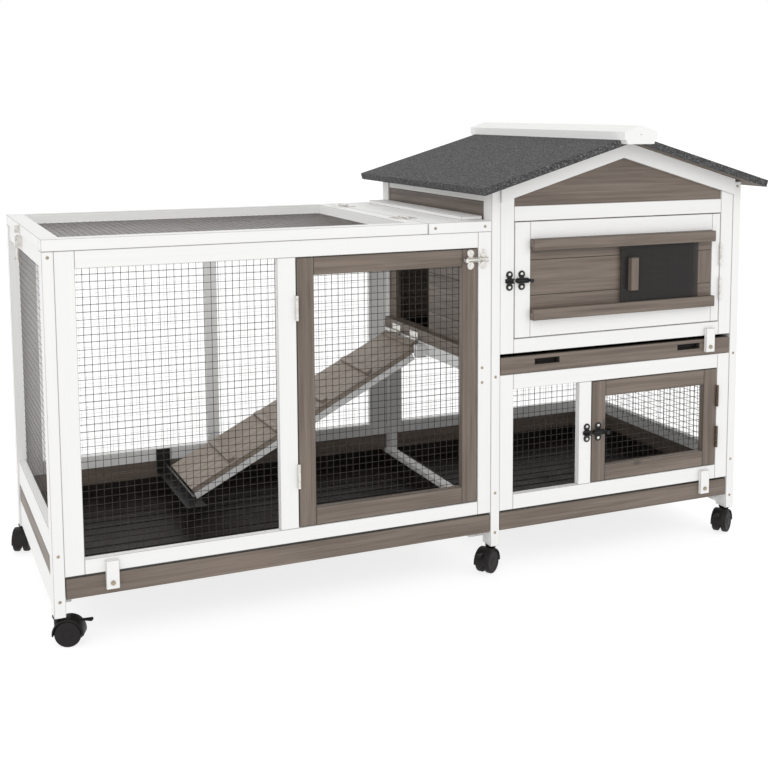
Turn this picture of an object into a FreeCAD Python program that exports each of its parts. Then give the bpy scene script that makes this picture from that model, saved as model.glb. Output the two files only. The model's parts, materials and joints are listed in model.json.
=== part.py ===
import FreeCAD, Part
import math
import os
import Sketcher

# Rabbit hutch on casters: a wire run with a hinged lid, and a two-storey house with a pitched roof.
# Millimetres, +Z up, X along the hutch from run to house, Y from the front to the back.
# Pieces are placed from the front left post's outer corner, then the whole is shifted to the centre of
# its footprint on the floor.

os.makedirs("parts", exist_ok=True)
doc = FreeCAD.newDocument("rabbit_hutch")
sheet = doc.addObject("Spreadsheet::Sheet", "Sizes")


class Size:
    """A length that carries its spreadsheet expression and its number."""

    def __init__(self, text, value):
        self.text = text
        self.value = value

    def __add__(self, other):
        other = size_of(other)
        return Size(f"({self.text} + {other.text})", self.value + other.value)

    def __radd__(self, other):
        return size_of(other) + self

    def __sub__(self, other):
        other = size_of(other)
        return Size(f"({self.text} - {other.text})", self.value - other.value)

    def __rsub__(self, other):
        return size_of(other) - self

    def __mul__(self, other):
        other = size_of(other)
        return Size(f"({self.text} * {other.text})", self.value * other.value)

    def __rmul__(self, other):
        return size_of(other) * self

    def __truediv__(self, other):
        other = size_of(other)
        return Size(f"({self.text} / {other.text})", self.value / other.value)

    def __neg__(self):
        return Size(f"(0 - {self.text})", -self.value)

    def __lt__(self, other):
        return self.value < size_of(other).value


def size_of(number):
    """A Size as it is, or a plain number as a Size."""
    if isinstance(number, Size):
        return number
    return Size(repr(float(number)), float(number))


def sine(angle):
    """Sine of an angle in degrees."""
    return Size(f"sin({angle.text})", math.sin(math.radians(angle.value)))


def cosine(angle):
    """Cosine of an angle in degrees."""
    return Size(f"cos({angle.text})", math.cos(math.radians(angle.value)))


def root(number):
    """Square root."""
    return Size(f"sqrt({number.text})", math.sqrt(number.value))


row = 0


def size(alias, number):
    """Writes one driving dimension into the sheet and returns it."""
    global row
    row += 1
    sheet.set(f"A{row}", alias)
    sheet.set(f"B{row}", str(number))
    sheet.setAlias(f"B{row}", alias)
    return Size(f"Sizes.{alias}", float(number))


# ---------------------------------------------------------------- driving dimensions
# Overall frame
frame_long = size("frame_long", 1400)
frame_deep = size("frame_deep", 550)
run_long = size("run_long", 817)
post_wide = size("post_wide", 19)
post_deep = size("post_deep", 35)
leg_low = size("leg_low", 52)
run_top = size("run_top", 670)
panel_thick = size("panel_thick", 14)
panel_inset = size("panel_inset", 1)
ease = size("edge_ease", 0.8)
seat = size("seat_gap", 0.3)
door_gap = size("door_gap", 1.5)
board_inset = size("board_inset", 1)
side_inset = size("side_inset", 3)
wall_inset = size("wall_inset", 3)
wire_thick = size("wire_thick", 1)
wire_lap = size("wire_lap", 8)

# Base and trays
tray_low = size("tray_low", 82)
shelf_gap = size("shelf_gap", 1)
tray_trim = size("tray_trim", 1)
tray_front_high = size("tray_front_high", 35)
tray_front_thick = size("tray_front_thick", 12)
tray_wall = size("tray_wall", 2)
tray_side_gap = size("tray_side_gap", 1.5)
tray_top_gap = size("tray_top_gap", 4)
tray_back_gap = size("tray_back_gap", 4)
rib_high = size("rib_high", 1.2)
rib_wide = size("rib_wide", 4)
rib_pitch = size("rib_pitch", 36)
rib_root = size("rib_root", 0.5)
finger_slot_long = size("finger_slot_long", 56)
finger_slot_high = size("finger_slot_high", 12)
finger_slot_drop = size("finger_slot_drop", 7)
finger_slot_inset = size("finger_slot_inset", 75)
run_button_inset = size("run_button_inset", 65)
run_button_rise = size("run_button_rise", 9.5)
lower_button_inset = size("lower_button_inset", 70.5)
lower_button_rise = size("lower_button_rise", 12)
upper_button_inset = size("upper_button_inset", 64.5)
upper_button_rise = size("upper_button_rise", 6)
base_rail_high = size("base_rail_high", 26)
side_rail_low = size("side_rail_low", 56)
base_board_low = size("base_board_low", 108)
side_board_high = size("side_board_high", 33)
back_board_high = size("back_board_high", 41)
side_sill_high = size("side_sill_high", 48)
back_sill_high = size("back_sill_high", 27)
runner_wide = size("runner_wide", 16)
runner_high = size("runner_high", 18)
divider_wide = size("divider_wide", 20)
divider_top = size("divider_top", 125)
divider_out = size("divider_out", 14)

# Run
top_rail_high = size("top_rail_high", 30)
run_stile_left = size("run_stile_left", 33)
run_window_wide = size("run_window_wide", 343)
run_stile_mid = size("run_stile_mid", 34)
run_stile_right = size("run_stile_right", 28)
back_stile_mid_start = size("back_stile_mid_start", 397)
back_stile_mid = size("back_stile_mid", 26)
back_stile_right = size("back_stile_right", 41)
run_door_rim = size("run_door_rim", 32)
run_hinge_rise = size("run_hinge_rise", 72.5)
run_hinge_drop = size("run_hinge_drop", 66.5)
run_bolt_drop = size("run_bolt_drop", 20)

# Lid and fixed top strip
strip_long = size("strip_long", 130.75)
lid_thick = size("lid_thick", 20)
lid_rim = size("lid_rim", 32)
lid_wire_seat = size("lid_wire_seat", 1.2)
batten_wide = size("batten_wide", 44)
batten_inset = size("batten_inset", 3)
batten_high = size("batten_high", 7)

# House front
house_stile = size("house_stile", 30)
house_base_rail = size("house_base_rail", 30)
lower_top_rail = size("lower_top_rail", 30)
lower_top = size("lower_top", 390)
slot_high = size("slot_high", 41)
upper_sill_high = size("upper_sill_high", 28)
upper_door_high = size("upper_door_high", 225)
head_rail_high = size("head_rail_high", 29)
lower_window_wide = size("lower_window_wide", 148)
lower_stile_mid = size("lower_stile_mid", 29)
lower_door_rim = size("lower_door_rim", 32)
lower_hinge_rise = size("lower_hinge_rise", 37.5)
lower_hinge_drop = size("lower_hinge_drop", 35.5)
upper_hinge_rise = size("upper_hinge_rise", 46.5)
upper_hinge_drop = size("upper_hinge_drop", 63.5)
first_door_board = size("first_door_board", 47.5)
door_board_high = size("door_board_high", 69)
upper_door_rim = size("upper_door_rim", 34)
upper_door_right_rim = size("upper_door_right_rim", 20)
slat_high = size("slat_high", 22)
slat_thick = size("slat_thick", 14)
pane_thick = size("pane_thick", 3)
pane_slot = size("pane_slot", 4)
pane_slot_inset = size("pane_slot_inset", 3)
pane_lap = size("pane_lap", 7)
pane_play = size("pane_play", 1)
window_margin = size("window_margin", 46.5)
window_wide = size("window_wide", 171)
window_trim = size("window_trim", 4)
pane_handle_wide = size("pane_handle_wide", 18)
pane_handle_high = size("pane_handle_high", 66)
pane_handle_deep = size("pane_handle_deep", 12)
pane_handle_inset = size("pane_handle_inset", 8.5)
back_stile_left = size("back_stile_left", 20)

# House walls and roof
wall_thick = size("wall_thick", 12)
doorway_back = size("doorway_back", 70)
doorway_wide = size("doorway_wide", 181)
doorway_high = size("doorway_high", 170)
skirt_high = size("skirt_high", 23.5)
ledger_high = size("ledger_high", 25.5)
ledger_thick = size("ledger_thick", 14)
ramp_block = size("ramp_block", 21)
ramp_block_high = size("ramp_block_high", 26)
ramp_block_drop = size("ramp_block_drop", 4)
roof_angle = size("roof_angle", 16.5)
gable_corner_high = size("gable_corner_high", 8.3)
gable_board_high = size("gable_board_high", 46.3)
gable_inset = size("gable_inset", 3)
roof_side_over = size("roof_side_over", 34)
roof_end_over = size("roof_end_over", 40)
roof_board_thick = size("roof_board_thick", 11)
felt_thick = size("felt_thick", 3)
barge_high = size("barge_high", 32)
barge_thick = size("barge_thick", 12)
barge_proud = size("barge_proud", 5)
gable_thick = size("gable_thick", 10)
cap_half = size("cap_half", 37)
cap_foot_half = size("cap_foot_half", 30)
cap_side = size("cap_side", 16)
cap_rise = size("cap_rise", 12)
cap_bevel = size("cap_bevel", 3)
cap_tuck = size("cap_tuck", 8)
cap_over = size("cap_over", 22)
cap_drop = size("cap_drop", 18)

# Ramp
ramp_wide = size("ramp_wide", 185)
ramp_shift = size("ramp_shift", 3)
ramp_angle = size("ramp_angle", 27.1)
ramp_toe = size("ramp_toe", 128.6)
ramp_thick = size("ramp_thick", 10)
ramp_batten_wide = size("ramp_batten_wide", 12)
ramp_batten_high = size("ramp_batten_high", 14)
ramp_batten_start = size("ramp_batten_start", 28)
ramp_drop = size("ramp_drop", 23)
cleat_wide = size("cleat_wide", 14)
cleat_thick = size("cleat_thick", 6)
cleat_inset = size("cleat_inset", 12)
cleat_start = size("cleat_start", 8)
end_leaf_thick = size("end_leaf_thick", 1)
ramp_hinge_inset = size("ramp_hinge_inset", 22)
wall_leaf_high = size("wall_leaf_high", 16)
foot_thick = size("foot_thick", 2.5)
foot_high = size("foot_high", 21)
foot_gap = size("foot_gap", 4)
foot_wall = size("foot_wall", 4)
foot_lip = size("foot_lip", 12)
foot_heel = size("foot_heel", 8)
foot_reach = size("foot_reach", 48)
foot_bracket_wide = size("foot_bracket_wide", 28)
foot_bracket_deep = size("foot_bracket_deep", 6)

# Hardware
knuckle_radius = size("knuckle_radius", 3)
pin_radius = size("pin_radius", 1.2)
pin_clear = size("pin_clear", 0.06)
hinge_high = size("hinge_high", 45)
leaf_thick = size("leaf_thick", 0.6)
leaf_deep = size("leaf_deep", 11)
flat_leaf_wide = size("flat_leaf_wide", 20)
flat_leaf_thick = size("flat_leaf_thick", 1.5)
hinge_gap = size("hinge_gap", 0.3)
knuckle_play = size("knuckle_play", 0.2)
leaf_play = size("leaf_play", 0.1)
relief_play = size("relief_play", 0.4)
lid_hinge_front = size("lid_hinge_front", 98)
lid_hinge_back = size("lid_hinge_back", 73)
bolt_radius = size("bolt_radius", 3)
bolt_clear = size("bolt_clear", 0.3)
barrel_wide = size("barrel_wide", 11)
plate_thick = size("plate_thick", 1.5)
plate_high = size("plate_high", 38)
keeper_set_back = size("keeper_set_back", 2)
keeper_long = size("keeper_long", 18)
barrel_long = size("barrel_long", 27)
barrel_trim = size("barrel_trim", 1)
barrel_sink = size("barrel_sink", 0.5)
barrel_slot_high = size("barrel_slot_high", 5.2)
bolt_long = size("bolt_long", 31)
bolt_start = size("bolt_start", 1.5)
knob_from = size("knob_from", 30)
knob_radius = size("knob_radius", 4)
knob_thick = size("knob_thick", 3)
knob_stem_radius = size("knob_stem_radius", 2.2)
knob_stem_long = size("knob_stem_long", 9)
knob_stand = size("knob_stand", 11)
latch_back = size("latch_back", 238)
latch_out = size("latch_out", 5)
latch_face = size("latch_face", 9)
latch_plate_wide = size("latch_plate_wide", 26)
latch_tube_wide = size("latch_tube_wide", 10)
latch_body_high = size("latch_body_high", 23)
latch_body_drop = size("latch_body_drop", 1)
latch_keeper_rise = size("latch_keeper_rise", 3)
latch_keeper_drop = size("latch_keeper_drop", 2)
latch_rod_radius = size("latch_rod_radius", 2.5)
latch_rod_long = size("latch_rod_long", 48)
latch_knob_rise = size("latch_knob_rise", 5)
latch_knob_long = size("latch_knob_long", 6)
button_wide = size("button_wide", 22)
button_high = size("button_high", 50)
button_thick = size("button_thick", 8)
button_gap = size("button_gap", 0.5)
button_screw_radius = size("button_screw_radius", 2)
button_screw_head = size("button_screw_head", 4)
button_head_thick = size("button_head_thick", 1.6)
button_head_gap = size("button_head_gap", 0.4)
button_head_lap = size("button_head_lap", 0.1)
screw_radius = size("screw_radius", 3.2)
screw_head = size("screw_head", 0.8)

# Casters
wheel_radius = size("wheel_radius", 22.5)
wheel_wide = size("wheel_wide", 11.5)
caster_trail = size("caster_trail", 16)
hood_gap = size("hood_gap", 1.5)
hood_thick = size("hood_thick", 2.5)
hood_skirt = size("hood_skirt", 2)
hood_edge = size("hood_edge", 1)
wheel_gap = size("wheel_gap", 0.6)
web_drop = size("web_drop", 8)
web_trim = size("web_trim", 1)
neck_rise = size("neck_rise", 10)
flange_thick = size("flange_thick", 2.4)
stem_lap = size("stem_lap", 2)
web_thick = size("web_thick", 7)
stem_radius = size("stem_radius", 4)
stem_long = size("stem_long", 24)
neck_radius = size("neck_radius", 9)
axle_radius = size("axle_radius", 2.5)
axle_clear = size("axle_clear", 0.08)
lever_long = size("lever_long", 20)
lever_wide = size("lever_wide", 13)
lever_thick = size("lever_thick", 4)
front_left_turn = size("front_left_turn", -20)
front_right_turn = size("front_right_turn", 215)
back_left_turn = size("back_left_turn", 250)
back_middle_turn = size("back_middle_turn", 120)
back_right_turn = size("back_right_turn", 70)

# ---------------------------------------------------------------- derived places
post_middle = run_long
house_left = run_long + post_wide
house_right = frame_long - post_wide
back_face = frame_deep - panel_inset
panel_front = panel_inset
panel_back = panel_inset + panel_thick
rear_front = frame_deep - panel_inset - panel_thick
side_in = side_inset
ridge_x = (run_long + frame_long) / 2
roof_half = frame_long - ridge_x + roof_side_over
slope = sine(roof_angle) / cosine(roof_angle)
base_top = tray_low + tray_front_high + tray_top_gap
run_sill = base_top + base_rail_high
run_head = run_top - top_rail_high
upper_low = lower_top + slot_high
upper_sill = upper_low + upper_sill_high
upper_head = upper_sill + upper_door_high + door_gap * 2
upper_top = upper_head + head_rail_high
lower_sill = base_top + house_base_rail
lower_head = lower_top - lower_top_rail
barge_foot = upper_top + gable_corner_high
ridge_under = barge_foot + barge_high + (ridge_x - house_left) * slope
eave_under = ridge_under - (frame_long - ridge_x) * slope
strip_from = run_long - strip_long
lid_long = strip_from - door_gap
lid_low = run_top + seat
lid_high = lid_low + lid_thick
roof_skin = roof_board_thick + felt_thick
roof_tip = (frame_long + roof_side_over - felt_thick + felt_thick * cosine(roof_angle)
            + roof_skin * sine(roof_angle))
cap_seat = ridge_under + roof_skin / cosine(roof_angle) + seat

hood_radius = wheel_radius + hood_gap + hood_thick
hood_wide = web_thick + wheel_wide * 2 + hood_edge * 2
hood_reach = root(hood_radius * hood_radius - hood_skirt * hood_skirt)
turn_cos = cosine(back_left_turn)
turn_sin = sine(back_left_turn)
left_reach = -(hood_reach * turn_cos) - hood_wide / 2 * turn_sin
x_low = post_wide / 2 + caster_trail * turn_cos - left_reach
x_high = roof_tip
origin_x = (x_low + x_high) / 2
origin_y = frame_deep / 2


# ---------------------------------------------------------------- building helpers
OVER = 1  # how far a cutting tool runs past what it cuts


def put(item, x, y, z):
    """Ties an object's place to the sheet, measured from the front left post."""
    item.setExpression("Placement.Base.x", (x - origin_x).text)
    item.setExpression("Placement.Base.y", (y - origin_y).text)
    item.setExpression("Placement.Base.z", size_of(z).text)


def put_local(item, x, y, z):
    """Ties an object's place inside a group that is moved later."""
    item.setExpression("Placement.Base.x", size_of(x).text)
    item.setExpression("Placement.Base.y", size_of(y).text)
    item.setExpression("Placement.Base.z", size_of(z).text)


def turned(item, axis, angle):
    """Turns an object about its own base point by an angle in degrees from the sheet."""
    item.Placement = FreeCAD.Placement(FreeCAD.Vector(), FreeCAD.Rotation(FreeCAD.Vector(*axis), 10))
    item.setExpression("Placement.Rotation.Angle", size_of(angle).text)


def plain_box(name, long, deep, high):
    """A box whose sides are tied to the sheet."""
    box = doc.addObject("Part::Box", name)
    box.setExpression("Length", size_of(long).text)
    box.setExpression("Width", size_of(deep).text)
    box.setExpression("Height", size_of(high).text)
    return box


def block(name, x0, x1, y0, y1, z0, z1):
    """A sharp box between six planes."""
    x0, x1, y0, y1, z0, z1 = [size_of(v) for v in (x0, x1, y0, y1, z0, z1)]
    box = plain_box(name, x1 - x0, y1 - y0, z1 - z0)
    put(box, x0, y0, z0)
    return box


def eased(item, edges=12):
    """Takes the sharp corners off a sawn board."""
    chamfer = doc.addObject("Part::Chamfer", item.Name + "_eased")
    chamfer.Base = item
    chamfer.Edges = [(number, ease.value, ease.value) for number in range(1, edges + 1)]
    return chamfer


def board(name, x0, x1, y0, y1, z0, z1):
    """A sawn board with eased edges between six planes."""
    return eased(block(name, x0, x1, y0, y1, z0, z1))


def rod(name, axis, radius, long, x, y, z, placed=put):
    """A cylinder along X, Y or Z from a start point."""
    cylinder = doc.addObject("Part::Cylinder", name)
    cylinder.setExpression("Radius", size_of(radius).text)
    cylinder.setExpression("Height", size_of(long).text)
    turns = {"X": ((0, 1, 0), 90), "Y": ((1, 0, 0), -90), "Z": ((0, 0, 1), 0)}
    direction, angle = turns[axis]
    turn = FreeCAD.Rotation(FreeCAD.Vector(*direction), angle)
    cylinder.Placement = FreeCAD.Placement(FreeCAD.Vector(), turn)
    placed(cylinder, size_of(x), size_of(y), size_of(z))
    return cylinder


def fuse(name, items):
    """Joins solids into one."""
    joined = doc.addObject("Part::MultiFuse", name)
    joined.Shapes = items
    joined.Refine = True
    return joined


def cut(name, base, tool):
    """Takes one solid out of another."""
    result = doc.addObject("Part::Cut", name)
    result.Base = base
    result.Tool = tool
    return result


def common(name, first, second):
    """Keeps what two solids share."""
    result = doc.addObject("Part::Common", name)
    result.Base = first
    result.Tool = second
    return result


def group(name, items):
    """Keeps solids apart in one object."""
    compound = doc.addObject("Part::Compound", name)
    compound.Links = items
    return compound


nodes = []


def node(name, items):
    """Names one sub-part: a single solid, or a group of separate solids."""
    item = items[0] if len(items) == 1 else group(name, items)
    item.Label = name
    nodes.append(item)
    return item


def profile(name, points, thick, x, y, z):
    """A flat outline in the XZ plane, given from the piece's own corner, padded towards +Y."""
    body = doc.addObject("PartDesign::Body", name + "_body")
    sketch = body.newObject("Sketcher::SketchObject", name + "_outline")
    plane = [f for f in body.Origin.OriginFeatures if f.Role == "XZ_Plane"][0]
    sketch.AttachmentSupport = [(plane, "")]
    sketch.MapMode = "FlatFace"
    count = len(points)
    corners = [FreeCAD.Vector(size_of(px).value, size_of(pz).value, 0) for px, pz in points]
    for number in range(count):
        sketch.addGeometry(Part.LineSegment(corners[number], corners[(number + 1) % count]), False)
    for number in range(count):
        sketch.addConstraint(Sketcher.Constraint("Coincident", number, 2, (number + 1) % count, 1))
    for number, (px, pz) in enumerate(points):
        for kind, amount in (("DistanceX", size_of(px)), ("DistanceY", size_of(pz))):
            index = sketch.addConstraint(Sketcher.Constraint(kind, -1, 1, number, 1, amount.value))
            sketch.setExpression(f"Constraints[{index}]", amount.text)
    pad = body.newObject("PartDesign::Pad", name + "_pad")
    pad.Profile = sketch
    pad.setExpression("Length", size_of(thick).text)
    pad.Reversed = True
    put(body, x, y, z)
    return body


def frame_panel(name, x0, x1, y0, y1, z0, z1, left, right, bottom, top):
    """Stiles and rails round an opening, as four boards in the XZ plane."""
    return [
        board(name + "_stile_a", x0, x0 + left, y0, y1, z0, z1),
        board(name + "_stile_b", x1 - right, x1, y0, y1, z0, z1),
        board(name + "_rail_a", x0 + left, x1 - right, y0, y1, z0, z0 + bottom),
        board(name + "_rail_b", x0 + left, x1 - right, y0, y1, z1 - top, z1),
    ]


def wire_sheet(name, x0, x1, y0, z0, z1):
    """Welded wire as a thin plate in the XZ plane."""
    return block(name, x0, x1, y0, y0 + wire_thick, z0, z1)


# ---------------------------------------------------------------- posts
upper_tray_low = lower_top + shelf_gap
post_height = eave_under - seat
post_items = []
for label, x, high in (("run", size_of(0), run_top), ("middle", post_middle, post_height),
                       ("end", house_right, post_height)):
    for side, y in (("front", size_of(0)), ("back", frame_deep - post_deep)):
        stock = board(f"post_{side}_{label}", x, x + post_wide, y, y + post_deep, leg_low, high)
        socket = rod(f"post_{side}_{label}_socket", "Z", stem_radius + axle_clear, stem_long + OVER,
                     x + post_wide / 2, y + post_deep / 2, leg_low - OVER)
        post_items.append(cut(f"post_{side}_{label}_bored", stock, socket))
node("corner_posts", post_items)

# ---------------------------------------------------------------- run panels
window_right = post_wide + run_stile_left + run_window_wide
door_left = window_right + run_stile_mid
door_right = run_long - run_stile_right
node("run_front_frame", [
    board("front_stile_left", post_wide, post_wide + run_stile_left, panel_front, panel_back, base_top,
          run_top),
    board("front_stile_mid", window_right, door_left, panel_front, panel_back, run_sill, run_head),
    board("front_stile_right", door_right, run_long, panel_front, panel_back, base_top, run_top),
    board("front_rail_low", post_wide + run_stile_left, door_right, panel_front, panel_back, base_top,
          run_sill),
    board("front_rail_top", post_wide + run_stile_left, door_right, panel_front, panel_back, run_head,
          run_top),
])

back_sill_low = base_board_low + back_board_high
back_sill = back_sill_low + back_sill_high
run_rear_items = [
    board("back_stile_left", post_wide, post_wide + run_stile_left, rear_front, back_face, back_sill_low,
          run_top),
    board("back_stile_mid", back_stile_mid_start, back_stile_mid_start + back_stile_mid, rear_front,
          back_face,
          back_sill, run_head),
    board("back_stile_right", run_long - back_stile_right, run_long, rear_front, back_face,
          back_sill_low, run_top),
    board("back_rail_low", post_wide + run_stile_left, run_long - back_stile_right, rear_front, back_face,
          back_sill_low, back_sill),
    board("back_rail_top", post_wide + run_stile_left, run_long - back_stile_right, rear_front, back_face,
          run_head, run_top),
]

side_low = base_board_low + side_board_high
side_sill = side_low + side_sill_high
side_front = post_deep
side_back = frame_deep - post_deep
run_side_items = [
    board("side_rail_top", side_in, side_in + panel_thick, side_front, side_back, run_head, run_top),
    board("side_sill", side_in, side_in + panel_thick, side_front, side_back, side_low, side_sill),
    board("side_rail_low", side_in, side_in + panel_thick, side_front, side_back, side_rail_low,
          base_board_low),
]
node("run_back_and_side_frames", run_rear_items + run_side_items)

# ---------------------------------------------------------------- taupe base boards, right end panel, divider
right_out = frame_long - side_in
right_in = right_out - panel_thick
node("base_boards", [
    board("base_left", side_in, side_in + panel_thick, side_front, side_back, base_board_low, side_low),
    board("base_right", right_in, right_out, side_front, side_back, base_board_low, back_sill_low),
    board("base_back_run", post_wide, run_long, rear_front, back_face, base_board_low, back_sill_low),
    board("base_back_house", house_left, house_right, rear_front, back_face, base_board_low, back_sill_low),
])

wall_left = post_middle + wall_inset
wall_right = right_out - wall_thick
divider_left = run_long - divider_out
divider_right = divider_left + divider_wide
runner_top = tray_low + tray_trim - seat
runner_low = runner_top - runner_high
runner_left = side_in + panel_thick
upper_runner_top = upper_tray_low + tray_trim - seat
node("tray_runners", [
    board("runner_run_left", runner_left, runner_left + runner_wide, side_front, side_back, runner_low,
          runner_top),
    board("runner_run_right", divider_left - runner_wide, divider_left, side_front, side_back, runner_low,
          runner_top),
    board("divider", divider_left, divider_right, side_front, side_back, runner_low, divider_top),
    board("runner_house_left", divider_right, house_left + runner_wide, side_front, side_back, runner_low,
          runner_top),
    board("runner_house_right", right_in - runner_wide, right_in, side_front, side_back, runner_low,
          runner_top),
    board("runner_upper_left", wall_left + wall_thick, house_left + runner_wide, side_front, side_back,
          upper_runner_top - runner_high, upper_runner_top),
    board("runner_upper_right", right_in - runner_wide, right_in, side_front, side_back,
          upper_runner_top - runner_high, upper_runner_top),
])

# ---------------------------------------------------------------- house frames
lower_window_right = house_left + house_stile + lower_window_wide
lower_door_left = lower_window_right + lower_stile_mid
house_door_right = house_right - house_stile
house_lower_items = [
    board("lower_stile_left", house_left, house_left + house_stile, panel_front, panel_back, base_top,
          lower_top),
    board("lower_stile_mid_board", lower_window_right, lower_door_left, panel_front, panel_back, lower_sill,
          lower_head),
    board("lower_stile_right", house_door_right, house_right, panel_front, panel_back, base_top, lower_top),
    board("lower_rail_low", house_left + house_stile, house_door_right, panel_front, panel_back, base_top,
          lower_sill),
    board("lower_rail_top", house_left + house_stile, house_door_right, panel_front, panel_back, lower_head,
          lower_top),
]
stile_low = barge_foot - upper_low
stile_high = stile_low + house_stile * slope
node("house_front_frame", house_lower_items + [
    eased(profile("upper_stile_left", [
        (0, 0), (house_stile, 0), (house_stile, stile_high), (0, stile_low)], panel_thick, house_left,
        panel_front,
        upper_low)),
    eased(profile("upper_stile_right", [
        (0, 0), (house_stile, 0), (house_stile, stile_low), (0, stile_high)], panel_thick, house_door_right,
        panel_front, upper_low)),
    board("upper_sill_rail", house_left + house_stile, house_door_right, panel_front, panel_back, upper_low,
          upper_sill),
    board("upper_head_rail", house_left + house_stile, house_door_right, panel_front, panel_back,
          upper_head,
          upper_top),
])

ledger_left = wall_left - ledger_thick
ledger_front = side_front + board_inset
ledger_back = side_back - board_inset
ledger_top = upper_low - skirt_high
ramp_near = frame_deep - doorway_back - doorway_wide + ramp_shift
hinge_z = upper_low - ramp_drop
block_back = ramp_near - door_gap
node("house_rails", frame_panel("house_back_panel", house_left, house_right, rear_front, back_face,
                                back_sill_low,
                                lower_top, back_stile_left, back_stile_left, back_sill_high,
                                lower_top_rail) + [
    board("house_side_rail_low", right_in, right_out, side_front, side_back, side_rail_low, base_board_low),
    board("house_side_sill", right_in, right_out, side_front, side_back, back_sill_low, back_sill),
    board("house_side_head", right_in, right_out, side_front, side_back, lower_head, lower_top),
    board("ledger", ledger_left, wall_left, ledger_front, ledger_back, ledger_top - ledger_high,
          ledger_top),
    board("ramp_block", ledger_left - ramp_block, ledger_left, block_back - ramp_block, block_back,
          hinge_z - ramp_block_drop - ramp_block_high, hinge_z - ramp_block_drop),
    board("eave_rail_left", wall_left, wall_left + wall_thick, side_front, side_back, barge_foot,
          post_height),
    board("eave_rail_right", wall_right, right_out, side_front, side_back, barge_foot, post_height),
])

# ---------------------------------------------------------------- house walls of tongue and groove boards
WALL_BOARDS = 4


def wall_boards(name, x0, x1, y0, y1, top):
    """Horizontal boards, one above the other, as high as the wall."""
    items = []
    step = (top - lower_top) / WALL_BOARDS
    for number in range(WALL_BOARDS):
        low = lower_top + step * number
        items.append(board(f"{name}_{number + 1}", x0, x1, y0, y1, low, low + step))
    return items


doorway_from = frame_deep - doorway_back - doorway_wide
doorway = block("doorway", wall_left - OVER, wall_left + wall_thick + OVER, doorway_from,
                doorway_from + doorway_wide, upper_low, upper_low + doorway_high)
left_boards = []
for item in wall_boards("wall_left", wall_left, wall_left + wall_thick, side_front, side_back, barge_foot):
    left_boards.append(cut(item.Name + "_open", item, doorway))
left_boards.append(board("skirt", ledger_left, wall_left, ledger_front, ledger_back, upper_low - skirt_high,
                         upper_low))
node("house_left_wall", left_boards)
back_wall_front = rear_front + board_inset
node("house_outer_walls",
     wall_boards("wall_right_side", wall_right, right_out, side_front, side_back, barge_foot)
     + wall_boards("wall_back", house_left, house_right, back_wall_front, back_wall_front + wall_thick,
                   upper_top))

# ---------------------------------------------------------------- gables and barge boards
gable_peak = ridge_under - barge_high - upper_top
seam_reach = (gable_peak - gable_board_high) / slope
barge_long = ridge_x - house_left
gable_items = []
barge_items = []
for side, half, gable_y, barge_y in (
        ("front", barge_long - house_stile, panel_inset + gable_inset, -barge_proud),
        ("back", barge_long, frame_deep - panel_inset - gable_inset - gable_thick,
         frame_deep + barge_proud - barge_thick)):
    corner = gable_peak - half * slope
    gable_items.append(profile(f"gable_{side}_low", [
        (0, 0), (half * 2, 0), (half * 2, corner), (half + seam_reach, gable_board_high),
        (half - seam_reach, gable_board_high), (0, corner)], gable_thick, ridge_x - half, gable_y,
        upper_top))
    gable_items.append(profile(f"gable_{side}_peak", [
        (0, 0), (seam_reach * 2, 0), (seam_reach, gable_peak - gable_board_high)], gable_thick,
        ridge_x - seam_reach, gable_y, upper_top + gable_board_high))
    barge_items.append(profile(f"barge_{side}_left", [
        (0, 0), (barge_long, barge_long * slope), (barge_long, barge_long * slope + barge_high - seat),
        (0, barge_high - seat)], barge_thick, house_left, barge_y, barge_foot))
    barge_items.append(profile(f"barge_{side}_right", [
        (0, barge_long * slope), (barge_long, 0), (barge_long, barge_high - seat),
        (0, barge_long * slope + barge_high - seat)], barge_thick, ridge_x, barge_y, barge_foot))
node("gable_boards", gable_items)
node("barge_boards", barge_items)

# ---------------------------------------------------------------- roof
roof_run = (roof_half - felt_thick) / cosine(roof_angle)
roof_long = frame_deep + roof_end_over * 2 - felt_thick * 2
roof_start = -roof_end_over + felt_thick
eave_low = ridge_under - (roof_half - felt_thick) * slope
roof_items = []
felt_items = []
for side in ("left", "right"):
    deck = eased(plain_box(f"roof_{side}_deck", roof_run, roof_long, roof_board_thick))
    skin = plain_box(f"felt_{side}_skin", roof_run + felt_thick, roof_long + felt_thick * 2, roof_skin)
    core = plain_box(f"felt_{side}_core", roof_run + OVER, roof_long, roof_board_thick + OVER)
    if side == "left":
        start_x, start_z, turn = ridge_x - roof_half + felt_thick, eave_low, -roof_angle
        put_local(skin, -felt_thick, -felt_thick, 0)
        put_local(core, 0, 0, -OVER)
    else:
        start_x, start_z, turn = ridge_x, ridge_under, roof_angle
        put_local(skin, 0, -felt_thick, 0)
        put_local(core, -OVER, 0, -OVER)
    felt = cut(f"felt_{side}", skin, core)
    for item, target in ((group(f"roof_{side}", [deck]), roof_items), (group(f"felt_{side}_set", [felt]),
                                                                       felt_items)):
        turned(item, (0, 1, 0), turn)
        put(item, start_x, roof_start, start_z)
        target.append(item)
node("roof_boards", roof_items)
node("roof_felt", felt_items)

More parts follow.
